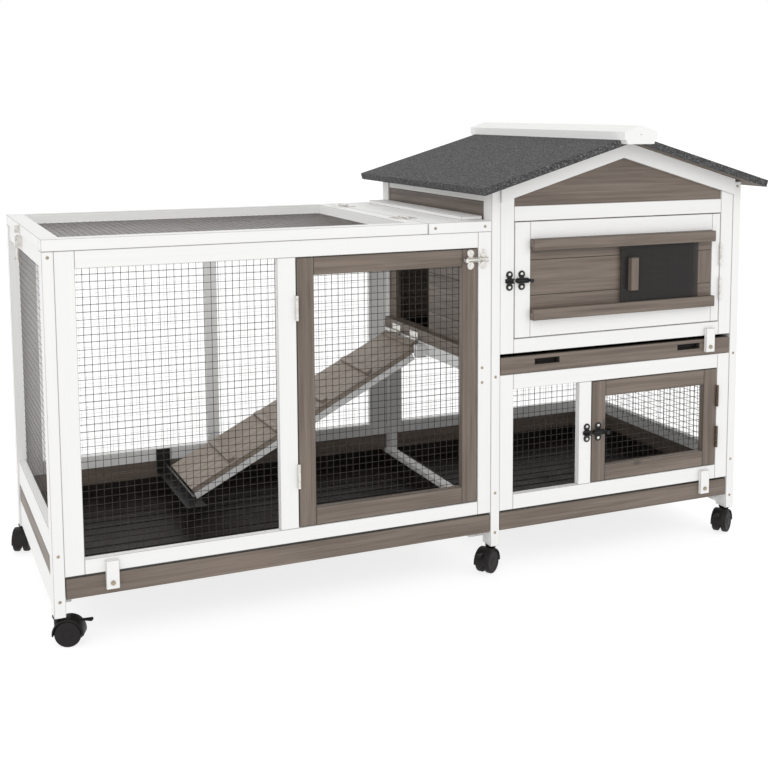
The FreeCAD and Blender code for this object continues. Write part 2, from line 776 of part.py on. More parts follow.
cap_long = frame_deep + roof_end_over * 2
cap_low = cap_seat - cap_half * slope
cap_top = cap_side + cap_rise
cap_main = profile("cap_main", [
    (0, 0), (cap_half, cap_half * slope), (cap_half * 2, 0), (cap_half * 2, cap_side),
    (cap_half, cap_top), (0, cap_side)], cap_long + cap_over * 2, ridge_x - cap_half,
    -roof_end_over - cap_over, cap_low)
cap_ends = []
for side, y in (("front", -roof_end_over - cap_over), ("back", frame_deep + roof_end_over + seat)):
    cap_ends.append(profile(f"cap_end_{side}", [
        (cap_half - cap_foot_half, 0), (cap_half + cap_foot_half, 0), (cap_half * 2, cap_drop - cap_bevel),
        (cap_half * 2, cap_drop), (0, cap_drop), (0, cap_drop - cap_bevel)], cap_over - seat,
        ridge_x - cap_half,
        y, cap_low - cap_tuck))
node("ridge_cap", [fuse("cap_joined", [cap_main] + cap_ends)])

# ---------------------------------------------------------------- run top: fixed strip and batten
batten_right = run_long - batten_inset
node("top_strip", [
    board("strip_board", strip_from, run_long, 0, frame_deep, run_top, lid_high),
    board("strip_batten", batten_right - batten_wide, batten_right, post_deep, frame_deep - post_deep,
          lid_high,
          lid_high + batten_high),
])

# ---------------------------------------------------------------- fixed wire panels
wire_back = rear_front - wire_thick
left_window_end = post_wide + run_stile_left
back_stile_centre = back_stile_mid_start + back_stile_mid / 2
lower_window_start = house_left + house_stile
node("wire_panels", [
    wire_sheet("wire_run_front", left_window_end - wire_lap, window_right + wire_lap, panel_back,
               run_sill - wire_lap, run_head + wire_lap),
    wire_sheet("wire_run_back_left", left_window_end - wire_lap, back_stile_centre - door_gap / 2,
               wire_back, back_sill - wire_lap, run_head + wire_lap),
    wire_sheet("wire_run_back_right", back_stile_centre + door_gap / 2,
               run_long - back_stile_right + wire_lap, wire_back, back_sill - wire_lap,
               run_head + wire_lap),
    block("wire_run_side", runner_left, runner_left + wire_thick, side_front, side_back,
          side_sill - wire_lap,
          run_head + wire_lap),
    wire_sheet("wire_house_front", lower_window_start - wire_lap, lower_window_right + wire_lap, panel_back,
               lower_sill - wire_lap, lower_head + wire_lap),
    wire_sheet("wire_house_back", house_left + back_stile_left - wire_lap,
               house_right - back_stile_left + wire_lap,
               wire_back, back_sill - wire_lap, lower_head + wire_lap),
    block("wire_house_side", right_in - wire_thick, right_in, side_front, side_back, back_sill - wire_lap,
          lower_head + wire_lap),
])


# ---------------------------------------------------------------- hinges
def knuckle_spans(moving):
    """Start and length of the knuckles that one leaf of a hinge has, from its lower or near end."""
    third = hinge_high / 3
    if moving:
        return [(third + knuckle_play, third - knuckle_play * 2)]
    return [(size_of(0), third), (third * 2, third)]


def bored(name, pieces, bore):
    """Pieces of a moving leaf joined into one and bored for the pin."""
    return cut(f"{name}_side", fuse(f"{name}_solid", pieces), bore)


def edge_hinge(name, seam_x, low, door_side):
    """A butt hinge in the gap at a door's edge. Returns the frame's leaf with its pin, and the door's leaf."""
    axis_y = panel_front - knuckle_radius - hinge_gap
    leaves = []
    for owner, side in (("frame", -door_side), ("door", door_side)):
        inner = seam_x + leaf_play * side
        outer = inner + leaf_thick * side
        x0, x1 = (inner, outer) if side > 0 else (outer, inner)
        pieces = [block(f"{name}_{owner}_leaf", x0, x1, panel_front, panel_front + leaf_deep, low,
                        low + hinge_high)]
        for number, (start, high) in enumerate(knuckle_spans(owner == "door")):
            z = low + start
            pieces.append(block(f"{name}_{owner}_web_{number}", x0, x1, axis_y, panel_front, z, z + high))
            pieces.append(rod(f"{name}_{owner}_knuckle_{number}", "Z", knuckle_radius, high, seam_x,
                              axis_y, z))
        if owner == "frame":
            pieces.append(rod(f"{name}_pin", "Z", pin_radius, hinge_high, seam_x, axis_y, low))
            leaves.append(fuse(f"{name}_{owner}_side", pieces))
        else:
            bore = rod(f"{name}_bore", "Z", pin_radius + pin_clear, hinge_high, seam_x, axis_y, low)
            leaves.append(bored(f"{name}_{owner}", pieces, bore))
    return leaves


def door_hinges(name, seam_x, door_low, door_high, rise, drop, door_side):
    """The two hinges of a door, set in from its bottom and top. Returns the frame's and the door's leaves."""
    pairs = []
    for number, low in enumerate((door_low + rise, door_high - drop - hinge_high)):
        pairs.append(edge_hinge(f"{name}_{number + 1}", seam_x, low, door_side))
    return [pair[0] for pair in pairs], [pair[1] for pair in pairs]


def lid_hinge(name, y):
    """A flat hinge on top of the seam between the lid and the fixed strip."""
    x = lid_long + door_gap / 2
    z = lid_high + knuckle_radius + hinge_gap
    third = hinge_high / 3
    leaves = []
    for owner, side in (("fixed", 1), ("moving", -1)):
        moving = owner == "moving"
        near = x + (door_gap / 2) * side
        far = near + flat_leaf_wide * side
        x0, x1 = (near, far) if side > 0 else (far, near)
        flat = block(f"{name}_{owner}_leaf", x0, x1, y, y + hinge_high, lid_high,
                     lid_high + flat_leaf_thick)
        relief = (knuckle_radius + relief_play) * side
        gap0, gap1 = (x, x + relief) if side > 0 else (x + relief, x)
        spare = [(size_of(0), third + knuckle_play), (third * 2 - knuckle_play, third + knuckle_play)]
        if not moving:
            spare = [(third, third)]
        for number, (start, long) in enumerate(spare):
            notch = block(f"{name}_{owner}_notch_{number}", gap0, gap1, y + start, y + start + long,
                          lid_high - OVER, z + knuckle_radius)
            flat = cut(f"{name}_{owner}_flat_{number}", flat, notch)
        pieces = [flat]
        w0, w1 = (near, near + knuckle_radius) if side > 0 else (near - knuckle_radius, near)
        for number, (start, long) in enumerate(knuckle_spans(moving)):
            pieces.append(rod(f"{name}_{owner}_knuckle_{number}", "Y", knuckle_radius, long, x,
                              y + start, z))
            pieces.append(block(f"{name}_{owner}_web_{number}", w0, w1, y + start, y + start + long,
                                lid_high, z))
        if moving:
            bore = rod(f"{name}_bore", "Y", pin_radius + pin_clear, hinge_high, x, y, z)
            leaves.append(bored(f"{name}_{owner}", pieces, bore))
        else:
            pieces.append(rod(f"{name}_pin", "Y", pin_radius, hinge_high, x, y, z))
            leaves.append(fuse(f"{name}_{owner}_side", pieces))
    return leaves


# ---------------------------------------------------------------- bolts
tube_front = panel_front - plate_thick - barrel_wide
bolt_y = tube_front + barrel_wide / 2 + barrel_sink


def barrel(name, x0, x1, z, open_front):
    """A plate with a bored barrel on it, on the front face of a door or its frame."""
    plate = block(f"{name}_plate", x0, x1, panel_front - plate_thick, panel_front, z - plate_high / 2,
                  z + plate_high / 2)
    tube = block(f"{name}_tube", x0 + barrel_trim, x1 - barrel_trim, tube_front + barrel_sink * 2,
                 panel_front - plate_thick, z - barrel_wide / 2, z + barrel_wide / 2)
    solid = fuse(f"{name}_solid", [plate, tube])
    bore = rod(f"{name}_bore", "X", bolt_radius + bolt_clear, x1 - x0 + OVER * 2, x0 - OVER, bolt_y, z)
    result = cut(f"{name}_bored", solid, bore)
    if open_front:
        half = barrel_slot_high / 2
        slot = block(f"{name}_slot", x0 - OVER, x1 + OVER, bolt_y - barrel_wide, bolt_y, z - half, z + half)
        result = cut(f"{name}_slotted", result, slot)
    return result


def door_bolt(name, seam_x, z, door_side):
    """A barrel bolt drawn back from its keeper. Returns the keeper, the barrel on the door and the bolt."""
    def span(start, long, side):
        """The two ends, in order along X, of a length that starts some way off the seam."""
        near = seam_x + start * side
        far = near + long * side
        return (near, far) if side > 0 else (far, near)

    body = barrel(f"{name}_barrel", *span(keeper_set_back, barrel_long, door_side), z, True)
    keeper = barrel(f"{name}_keeper", *span(keeper_set_back, keeper_long, -door_side), z, False)
    bar = rod(f"{name}_bar", "X", bolt_radius, bolt_long, span(bolt_start, bolt_long, door_side)[0],
              bolt_y, z)
    knob_x = seam_x + knob_from * door_side
    stem = rod(f"{name}_stem", "Y", knob_stem_radius, knob_stem_long, knob_x, bolt_y - knob_stem_long, z)
    knob = rod(f"{name}_knob", "Y", knob_radius, knob_thick, knob_x, bolt_y - knob_stand, z)
    return keeper, body, fuse(f"{name}_moving", [bar, stem, knob])


def framed_door(name, x0, x1, z0, z1, rim):
    """A door's frame of four boards and the wire stapled over its opening from inside."""
    node(f"{name}_frame", frame_panel(name, x0, x1, panel_front, panel_back, z0, z1, rim, rim, rim, rim))
    reach = rim - wire_lap
    node(f"{name}_wire", [wire_sheet(f"{name}_wire_sheet", x0 + reach, x1 - reach, panel_back, z0 + reach,
                                     z1 - reach)])


# ---------------------------------------------------------------- run door
run_door_low = run_sill + door_gap
run_door_high = run_head - door_gap
framed_door("run_door", door_left + door_gap, door_right - door_gap, run_door_low, run_door_high,
            run_door_rim)
run_seam = door_left + door_gap / 2
frame_leaves, door_leaves = door_hinges("run_door_hinge", run_seam, run_door_low, run_door_high,
                                        run_hinge_rise,
                                        run_hinge_drop, 1)
keeper, body, moving_bolt = door_bolt("run_bolt", door_right - door_gap / 2,
                                      run_door_high - run_bolt_drop, -1)
frame_leaves.append(keeper)
node("run_door_hardware", door_leaves + [body])
node("run_door_bolt", [moving_bolt])

# ---------------------------------------------------------------- lower house door
lower_door_low = lower_sill + door_gap
lower_door_high = lower_head - door_gap
house_seam = house_door_right - door_gap / 2
framed_door("lower_door", lower_door_left + door_gap, house_door_right - door_gap, lower_door_low,
            lower_door_high, lower_door_rim)
fixed_leaves, door_leaves = door_hinges("lower_door_hinge", house_seam, lower_door_low, lower_door_high,
                                        lower_hinge_rise, lower_hinge_drop, -1)
keeper, body, moving_bolt = door_bolt("lower_bolt", lower_door_left + door_gap / 2,
                                      (lower_sill + lower_head) / 2, 1)
frame_leaves += fixed_leaves + [keeper]
node("lower_door_hardware", door_leaves + [body])
node("lower_door_bolt", [moving_bolt])

# ---------------------------------------------------------------- upper house door with its sliding window
upper_left = house_left + house_stile + door_gap
upper_right = house_door_right - door_gap
upper_door_low = upper_sill + door_gap
upper_door_top = upper_door_low + upper_door_high
node("upper_door_frame", frame_panel("upper_door", upper_left, upper_right, panel_front, panel_back,
                                     upper_door_low,
                                     upper_door_top, upper_door_rim, upper_door_right_rim, upper_door_rim,
                                     upper_door_rim))
panel_x0 = upper_left + upper_door_rim
panel_x1 = upper_right - upper_door_right_rim
panel_z0 = upper_door_low + upper_door_rim
panel_z1 = upper_door_top - upper_door_rim
board_front = panel_front + board_inset
board_back = board_front + gable_thick
low_slat_top = panel_z0 + slat_high
top_slat_low = panel_z1 - slat_high
window_from = panel_x1 - window_margin - window_wide
window_to = window_from + window_wide
window_cut = block("window_cut", window_from, window_to, board_front - OVER, board_back + OVER,
                   low_slat_top - window_trim, top_slat_low + window_trim)
seams = [panel_z0]
seam = panel_z0 + first_door_board
while seam < panel_z1 - slat_high:
    seams.append(seam)
    seam = seam + door_board_high
seams.append(panel_z1)
door_boards = []
for number, (low, high) in enumerate(zip(seams, seams[1:])):
    sawn = board(f"door_board_{number + 1}", panel_x0, panel_x1, board_front, board_back, low, high)
    door_boards.append(cut(f"door_board_{number + 1}_open", sawn, window_cut))
slot_front = panel_front - pane_slot_inset - pane_slot
groove_deep = pane_lap + pane_play
for name, low, groove_low in (("low", panel_z0, low_slat_top - groove_deep), ("top", top_slat_low,
                                                                             top_slat_low - OVER)):
    slat = board(f"slat_{name}", panel_x0, panel_x1, panel_front - slat_thick, board_front, low,
                 low + slat_high)
    groove = block(f"slat_{name}_groove", panel_x0 - OVER, panel_x1 + OVER, slot_front,
                   slot_front + pane_slot,
                   groove_low, groove_low + groove_deep + OVER)
    door_boards.append(cut(f"slat_{name}_grooved", slat, groove))
node("upper_door_panel", door_boards)
node("window_wire", [wire_sheet("window_wire_sheet", window_from - wire_lap, window_to + wire_lap,
                                board_back,
                                low_slat_top - wire_lap, top_slat_low + wire_lap)])
pane_front = slot_front + (pane_slot - pane_thick) / 2
pane = block("pane", window_from - wire_lap, window_to + wire_lap, pane_front, pane_front + pane_thick,
             low_slat_top - pane_lap, top_slat_low + pane_lap)
pane_mid = (low_slat_top + top_slat_low) / 2
handle_left = window_from + pane_handle_inset
handle = board("pane_handle", handle_left, handle_left + pane_handle_wide, pane_front - pane_handle_deep,
               pane_front,
               pane_mid - pane_handle_high / 2, pane_mid + pane_handle_high / 2)
node("window_pane_and_handle", [pane, handle])
fixed_leaves, door_leaves = door_hinges("upper_door_hinge", house_seam, upper_door_low, upper_door_top,
                                        upper_hinge_rise, upper_hinge_drop, -1)
keeper, body, moving_bolt = door_bolt("upper_bolt", house_left + house_stile + door_gap / 2,
                                      (upper_door_low + upper_door_top) / 2, 1)
frame_leaves += fixed_leaves + [keeper]
node("upper_door_hardware", door_leaves + [body])
node("upper_door_bolt", [moving_bolt])

# ---------------------------------------------------------------- lid
node("lid_frame", [
    board("lid_front", 0, lid_long, 0, lid_rim, lid_low, lid_high),
    board("lid_back", 0, lid_long, frame_deep - lid_rim, frame_deep, lid_low, lid_high),
    board("lid_left", 0, lid_rim, lid_rim, frame_deep - lid_rim, lid_low, lid_high),
    board("lid_right", lid_long - lid_rim, lid_long, lid_rim, frame_deep - lid_rim, lid_low, lid_high),
])
wire_low = lid_low + lid_wire_seat
node("lid_wire", [block("lid_wire_sheet", lid_rim, lid_long - lid_rim, lid_rim, frame_deep - lid_rim,
                        wire_low,
                        wire_low + wire_thick)])
lid_leaves = []
for number, y in enumerate((lid_hinge_front, frame_deep - lid_hinge_back - hinge_high)):
    fixed, moving = lid_hinge(f"lid_hinge_{number + 1}", y)
    frame_leaves.append(fixed)
    lid_leaves.append(moving)

latch_x = -latch_out
latch_y = frame_deep - latch_back


def upright_barrel(name, face_x, z0, z1):
    """A bored block on the left face of the lid or of the rail below it."""
    plate_half = latch_plate_wide / 2
    tube_half = latch_tube_wide / 2
    plate = block(f"{name}_plate", face_x - plate_thick, face_x, latch_y - plate_half,
                  latch_y + plate_half, z0, z1)
    tube = block(f"{name}_tube", -latch_face, face_x - plate_thick, latch_y - tube_half,
                 latch_y + tube_half,
                 z0 + barrel_trim, z1 - barrel_trim)
    bore = rod(f"{name}_bore", "Z", latch_rod_radius + bolt_clear, z1 - z0 + OVER * 2, latch_x, latch_y,
               z0 - OVER)
    return cut(f"{name}_bored", fuse(f"{name}_solid", [plate, tube]), bore)


latch_body_top = run_top - latch_body_drop
frame_leaves.append(upright_barrel("lid_latch_body", side_in, latch_body_top - latch_body_high,
                                   latch_body_top))
lid_keeper = upright_barrel("lid_latch_keeper", size_of(0), lid_low + latch_keeper_rise,
                            lid_high - latch_keeper_drop)
node("lid_hardware", lid_leaves + [lid_keeper])
rod_low = run_top - latch_rod_long
latch_rod = rod("lid_latch_rod", "Z", latch_rod_radius, latch_rod_long, latch_x, latch_y, rod_low)
latch_knob = rod("lid_latch_knob", "X", knob_stem_radius, latch_knob_long, latch_x - latch_knob_long,
                 latch_y,
                 rod_low + latch_knob_rise)
node("lid_bolt", [fuse("lid_latch_moving", [latch_rod, latch_knob])])


# ---------------------------------------------------------------- trays and their turn buttons
def tray(name, x0, x1, pan_x1, low, front_high, slots, button_x, button_rise):
    """A ribbed pan with a wooden front, and the turn button screwed to that front."""
    pan_front = panel_front + tray_front_thick
    top = low + front_high
    front = board(f"{name}_front", x0, x1, panel_front, pan_front, low, top)
    slot_top = top - finger_slot_drop
    for number, slot_x in enumerate(slots):
        hole = block(f"{name}_finger_{number}", slot_x, slot_x + finger_slot_long, panel_front - OVER,
                     pan_front + OVER, slot_top - finger_slot_high, slot_top)
        front = cut(f"{name}_front_{number}", front, hole)
    pan_back = rear_front - tray_back_gap
    pan_low = low + tray_trim
    pan_floor = pan_low + tray_wall
    pan_high = top - tray_trim
    outer = block(f"{name}_outer", x0, pan_x1, pan_front, pan_back, pan_low, pan_high)
    inner = block(f"{name}_inner", x0 + tray_wall, pan_x1 - tray_wall, pan_front + tray_wall,
                  pan_back - tray_wall, pan_floor, pan_high + OVER)
    shell = cut(f"{name}_shell", outer, inner)
    ribs = []
    for number in range(1, int((pan_back - pan_front).value / rib_pitch.value)):
        y = pan_front + rib_pitch * number
        ribs.append(block(f"{name}_rib_{number}", x0 + tray_wall / 2, pan_x1 - tray_wall / 2, y,
                          y + rib_wide,
                          pan_floor - rib_root, pan_floor + rib_high))
    pan = fuse(f"{name}_pan", [shell] + ribs)
    button_back = panel_front - button_gap
    button_front = button_back - button_thick
    button_low = low + button_rise
    pivot_x = button_x + button_wide / 2
    pivot_z = button_low + button_wide / 2
    head_back = button_front - button_head_gap
    shank = rod(f"{name}_screw_shank", "Y", button_screw_radius, panel_front - head_back, pivot_x,
                head_back, pivot_z)
    head = rod(f"{name}_screw_head", "Y", button_screw_head, button_head_thick, pivot_x,
               head_back + button_head_lap - button_head_thick, pivot_z)
    node(name, [front, pan, fuse(f"{name}_screw", [shank, head])])
    blank = board(f"{name}_button_blank", button_x, button_x + button_wide, button_front, button_back,
                  button_low, button_low + button_high)
    hole = rod(f"{name}_button_hole", "Y", button_screw_radius + pin_clear, button_thick + OVER * 2,
               pivot_x,
               button_front - OVER, pivot_z)
    node(f"{name}_button", [cut(f"{name}_button_bored", blank, hole)])


run_tray_left = post_wide + tray_side_gap
house_tray_left = house_left + tray_side_gap
house_tray_right = house_right - tray_side_gap
tray("run_tray", run_tray_left, run_long - tray_side_gap, divider_left - tray_side_gap, tray_low,
     tray_front_high, (), run_tray_left + run_button_inset, run_button_rise)
tray("lower_tray", house_tray_left, house_tray_right, house_tray_right, tray_low, tray_front_high, (),
     house_tray_right - lower_button_inset, lower_button_rise)
tray("upper_tray", house_tray_left, house_tray_right, house_tray_right, upper_tray_low,
     tray_front_high - shelf_gap * 2,
     (house_tray_left + finger_slot_inset, house_tray_right - finger_slot_inset - finger_slot_long),
     house_tray_right - upper_button_inset, upper_button_rise)

# ---------------------------------------------------------------- ramp
hinge_x = ledger_left - flat_leaf_thick - knuckle_radius - seat
surface = -(knuckle_radius + hinge_gap)
ramp_depth = -surface + ramp_thick + ramp_batten_high
ramp_long = (hinge_z - ramp_toe - ramp_depth * cosine(ramp_angle)) / sine(ramp_angle)
leaf_x = surface - end_leaf_thick


def local_block(name, x0, x1, y0, y1, z0, z1):
    """A box in a group's own frame. The ramp's has X along the slope from the hinge pin, Z out of its face."""
    x0, x1, y0, y1, z0, z1 = [size_of(v) for v in (x0, x1, y0, y1, z0, z1)]
    box = plain_box(name, x1 - x0, y1 - y0, z1 - z0)
    put_local(box, x0, y0, z0)
    return box


def on_ramp(name, items):
    """Sets pieces made in the ramp's own frame on its slope, as one node."""
    placed = group(f"{name}_placed", items)
    turned(placed, (0, 1, 0), -ramp_angle)
    put(placed, hinge_x, ramp_near, hinge_z)
    node(name, [placed])


ramp_items = [eased(local_block("ramp_plank", -ramp_long, leaf_x, 0, ramp_wide, surface - ramp_thick,
                                surface))]
for name, y in (("near", size_of(0)), ("far", ramp_wide - ramp_batten_wide)):
    ramp_items.append(eased(local_block(f"ramp_batten_{name}", -ramp_long, -ramp_batten_start, y,
                                        y + ramp_batten_wide, surface - ramp_thick - ramp_batten_high,
                                        surface - ramp_thick)))
CLEATS = 5
cleat_step = ramp_long / CLEATS
for number in range(CLEATS):
    cleat_x = -(cleat_step * number + cleat_start)
    ramp_items.append(eased(local_block(f"ramp_cleat_{number + 1}", cleat_x - cleat_wide, cleat_x,
                                        cleat_inset,
                                        ramp_wide - cleat_inset, surface, surface + cleat_thick)))
on_ramp("ramp", ramp_items)

ramp_leaves = []
for number, offset in enumerate((ramp_hinge_inset, ramp_wide - ramp_hinge_inset - hinge_high)):
    y = ramp_near + offset
    name = f"ramp_hinge_{number + 1}"
    wall_leaf_x = ledger_left - flat_leaf_thick
    pieces = [block(f"{name}_fixed_leaf", wall_leaf_x, ledger_left, y, y + hinge_high, ledger_top,
                    ledger_top + wall_leaf_high)]
    for span, (start, long) in enumerate(knuckle_spans(False)):
        pieces.append(rod(f"{name}_fixed_knuckle_{span}", "Y", knuckle_radius, long, hinge_x, y + start,
                          hinge_z))
        pieces.append(block(f"{name}_fixed_web_{span}", hinge_x, wall_leaf_x + flat_leaf_thick / 2,
                            y + start,
                            y + start + long, hinge_z, hinge_z + flat_leaf_thick))
    pieces.append(rod(f"{name}_pin", "Y", pin_radius, hinge_high, hinge_x, y, hinge_z))
    frame_leaves.append(fuse(f"{name}_fixed_side", pieces))
    start, long = knuckle_spans(True)[0]
    start = start + offset
    leaf = local_block(f"{name}_leaf", leaf_x, surface, offset, offset + hinge_high, surface - ramp_thick,
                       surface / 2)
    web = local_block(f"{name}_web", leaf_x, 0, start, start + long, surface / 2, 0)
    knuckle = rod(f"{name}_knuckle", "Y", knuckle_radius, long, 0, start, 0, put_local)
    bore = rod(f"{name}_bore", "Y", pin_radius + pin_clear, hinge_high, 0, offset, 0, put_local)
    ramp_leaves.append(bored(name, [leaf, web, knuckle], bore))
on_ramp("ramp_hinge_leaves", ramp_leaves)

# ---------------------------------------------------------------- angle that carries the ramp's low end
toe_x = hinge_x - ramp_long * cosine(ramp_angle) + ramp_depth * sine(ramp_angle)
ramp_end_x = hinge_x - ramp_long * cosine(ramp_angle) - surface * sine(ramp_angle)
foot_top = ramp_toe - seat
foot_low = foot_top - foot_thick
wall_right_x = ramp_end_x - foot_gap
foot_left = wall_right_x - foot_wall - foot_lip
foot_front = ramp_near - foot_reach
bracket_front = rear_front - foot_bracket_deep
node("ramp_foot", [fuse("ramp_foot_angle", [
    block("foot_flange", foot_left, toe_x + foot_heel, foot_front, rear_front, foot_low, foot_top),
    block("foot_rise", wall_right_x - foot_wall, wall_right_x, foot_front, rear_front, foot_low,
          foot_top + foot_high),
    block("foot_bracket", foot_left, foot_left + foot_bracket_wide, bracket_front, wire_back - seat,
          foot_low,
          back_sill),
    block("foot_bracket_back", foot_left, foot_left + foot_bracket_wide, bracket_front, rear_front,
          foot_low,
          back_sill - wire_lap - seat),
])])

# ---------------------------------------------------------------- frame hardware and screws
node("frame_hardware", frame_leaves)
screw_post_low = leg_low + panel_thick * 2
screw_rail_low = base_top + post_wide * 2
screw_places = []
for x, heights in ((size_of(0), (run_top - post_wide / 2, screw_rail_low, screw_post_low)),
                   (post_middle, (lower_top - door_gap, screw_rail_low, screw_post_low)),
                   (house_right, (post_height - post_wide / 2, lower_top - door_gap, screw_rail_low,
                                  screw_post_low))):
    for z in heights:
        screw_places.append((x + post_wide / 2, size_of(0), z))
for z in (lower_top + post_wide, lower_top - post_wide / 2):
    screw_places.append((run_long - post_wide, panel_front, z))
for x in (strip_from + panel_thick, run_long - panel_thick):
    screw_places.append((x, size_of(0), lid_low + lid_thick / 2))
screw_items = []
for number, (x, y, z) in enumerate(screw_places):
    screw_items.append(rod(f"screw_{number}", "Y", screw_radius, screw_head, x, y - screw_head, z))
node("frame_screws", screw_items)


# ---------------------------------------------------------------- casters
def along_y(name, radius, wide, x, z):
    """A cylinder across the caster, centred on its middle plane."""
    return rod(name, "Y", radius, wide, x, size_of(wide) * -0.5, z, put_local)


def below(name, top):
    """A box that takes away what a caster's cover or web would have below a height."""
    return local_block(name, -hood_radius * 2, hood_radius * 2, -hood_radius, hood_radius, -hood_radius,
                       top)


lever_reach = (hood_radius + lever_thick / 2 + seat) / root(size_of(2))


def caster(name, x, y, turn, braked):
    """A twin-wheel caster in its own frame, turned about its stem and set under a post."""
    hub_x = caster_trail
    hub_z = wheel_radius
    stem_foot = leg_low - seat
    shell = along_y(f"{name}_shell", hood_radius, hood_wide, hub_x, hub_z)
    hollow_radius = wheel_radius + hood_gap
    side = (hood_wide - web_thick) / 2
    rooms = []
    for number, start in enumerate((web_thick / 2, -web_thick / 2 - side - OVER)):
        rooms.append(rod(f"{name}_room_{number}", "Y", hollow_radius, side + OVER, hub_x, start, hub_z,
                         put_local))
    hollow = cut(f"{name}_hollow", shell, fuse(f"{name}_rooms", rooms))
    cover = cut(f"{name}_cover", hollow, below(f"{name}_skirt", hub_z + hood_skirt))
    web_disc = along_y(f"{name}_web_disc", hollow_radius - web_trim, web_thick, hub_x, hub_z)
    web = cut(f"{name}_web", web_disc, below(f"{name}_below", hub_z - web_drop))
    neck_low = hub_z + neck_rise
    neck = common(f"{name}_neck", rod(f"{name}_neck_rod", "Z", neck_radius, stem_foot - neck_low, 0, 0,
                                      neck_low,
                                      put_local),
                  local_block(f"{name}_neck_box", -hood_radius, hood_radius, -web_thick / 2,
                              web_thick / 2, 0,
                              leg_low))
    flange = rod(f"{name}_flange", "Z", neck_radius, flange_thick, 0, 0, stem_foot - flange_thick,
                 put_local)
    stem = rod(f"{name}_stem", "Z", stem_radius, stem_long, 0, 0, stem_foot - stem_lap, put_local)
    solid = fuse(f"{name}_joined", [cover, web, neck, flange, stem])
    bore = along_y(f"{name}_bore", axle_radius + axle_clear, hood_wide + OVER * 2, hub_x, hub_z)
    hood = cut(f"{name}_bored_hood", solid, bore)
    wheels = []
    near_side = web_thick / 2 + wheel_gap
    for number, start in enumerate((near_side, -near_side - wheel_wide)):
        wheels.append(rod(f"{name}_wheel_{number}", "Y", wheel_radius, wheel_wide, hub_x, start, hub_z,
                          put_local))
    axle = along_y(f"{name}_axle", axle_radius, web_thick + wheel_wide, hub_x, hub_z)
    pair = fuse(f"{name}_pair", wheels + [axle])
    pieces = [("hood", hood), ("wheels", pair)]
    if braked:
        lever_x = hub_x + lever_reach
        lever_z = hub_z + lever_reach
        pad = local_block(f"{name}_pad", lever_x, lever_x + lever_long, -lever_wide / 2, lever_wide / 2,
                          lever_z - lever_thick / 2, lever_z + lever_thick / 2)
        eye = along_y(f"{name}_eye", lever_thick / 2, lever_wide, lever_x, lever_z)
        pieces.append(("brake", fuse(f"{name}_lever", [pad, eye])))
    for label, item in pieces:
        placed = group(f"{name}_{label}_placed", [item])
        turned(placed, (0, 0, 1), turn)
        put(placed, x, y, 0)
        node(f"{name}_{label}", [placed])


half_wide = post_wide / 2
front_y = post_deep / 2
back_y = frame_deep - post_deep / 2
for label, x, front_turn, back_turn in (("left", half_wide, front_left_turn, back_left_turn),
                                        ("middle", run_long + half_wide, front_right_turn,
                                         back_middle_turn),
                                        ("right", house_right + half_wide, front_right_turn,
                                         back_right_turn)):
    caster(f"caster_front_{label}", x, front_y, front_turn, True)
    caster(f"caster_back_{label}", x, back_y, back_turn, False)

# ---------------------------------------------------------------- check and write
doc.recompute()
for item in doc.Objects:
    if "Invalid" in item.State or "Error" in item.State:
        raise RuntimeError(f"{item.Name} failed: {item.State}")
for item in nodes:
    if item.Shape.isNull() or not item.Shape.isValid():
        raise RuntimeError(f"{item.Label} has no valid shape")
for item in nodes:
    item.Shape.exportStep(f"parts/{item.Label}.step")
print(len(nodes), "sub-parts written")
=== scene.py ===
# %% [markdown]
# # A rabbit hutch on casters
# The hutch is a long wire run beside a small two-level house with a felt roof. Its boards, hinges, trays
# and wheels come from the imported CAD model, which is the frame here: it fixes every size, place and
# joint. This lesson gives each board its wood grain and paint, weaves real wire into the panels, and
# makes the fittings, casters and roof covering.

import json
import math

import bpy
import numpy as np
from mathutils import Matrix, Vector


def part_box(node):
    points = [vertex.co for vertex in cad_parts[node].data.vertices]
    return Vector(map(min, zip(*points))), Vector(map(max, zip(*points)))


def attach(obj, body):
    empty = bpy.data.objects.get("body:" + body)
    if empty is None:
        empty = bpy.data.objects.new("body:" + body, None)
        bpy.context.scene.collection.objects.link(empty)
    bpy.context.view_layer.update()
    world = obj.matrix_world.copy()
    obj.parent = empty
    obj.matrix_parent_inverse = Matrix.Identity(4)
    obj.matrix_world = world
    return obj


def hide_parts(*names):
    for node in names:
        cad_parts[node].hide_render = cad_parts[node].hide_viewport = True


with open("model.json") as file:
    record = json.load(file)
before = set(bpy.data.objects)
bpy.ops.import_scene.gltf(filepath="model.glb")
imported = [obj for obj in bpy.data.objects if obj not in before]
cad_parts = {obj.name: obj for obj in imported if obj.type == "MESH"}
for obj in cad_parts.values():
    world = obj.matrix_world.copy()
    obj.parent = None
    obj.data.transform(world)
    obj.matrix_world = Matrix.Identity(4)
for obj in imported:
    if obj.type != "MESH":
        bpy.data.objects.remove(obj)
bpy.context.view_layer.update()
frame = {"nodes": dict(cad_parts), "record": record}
nodes = frame["nodes"]
MM = 0.001
chance = np.random.default_rng(11)

# %% [markdown]
# ## Shader maths as Python expressions
# A material is a graph of nodes, and writing each Math node out is slow to read. A small class wraps one
# socket, so that `1 - mask * 0.5` adds the nodes by itself. Every other node comes from one method that
# takes its type, its settings and its inputs.


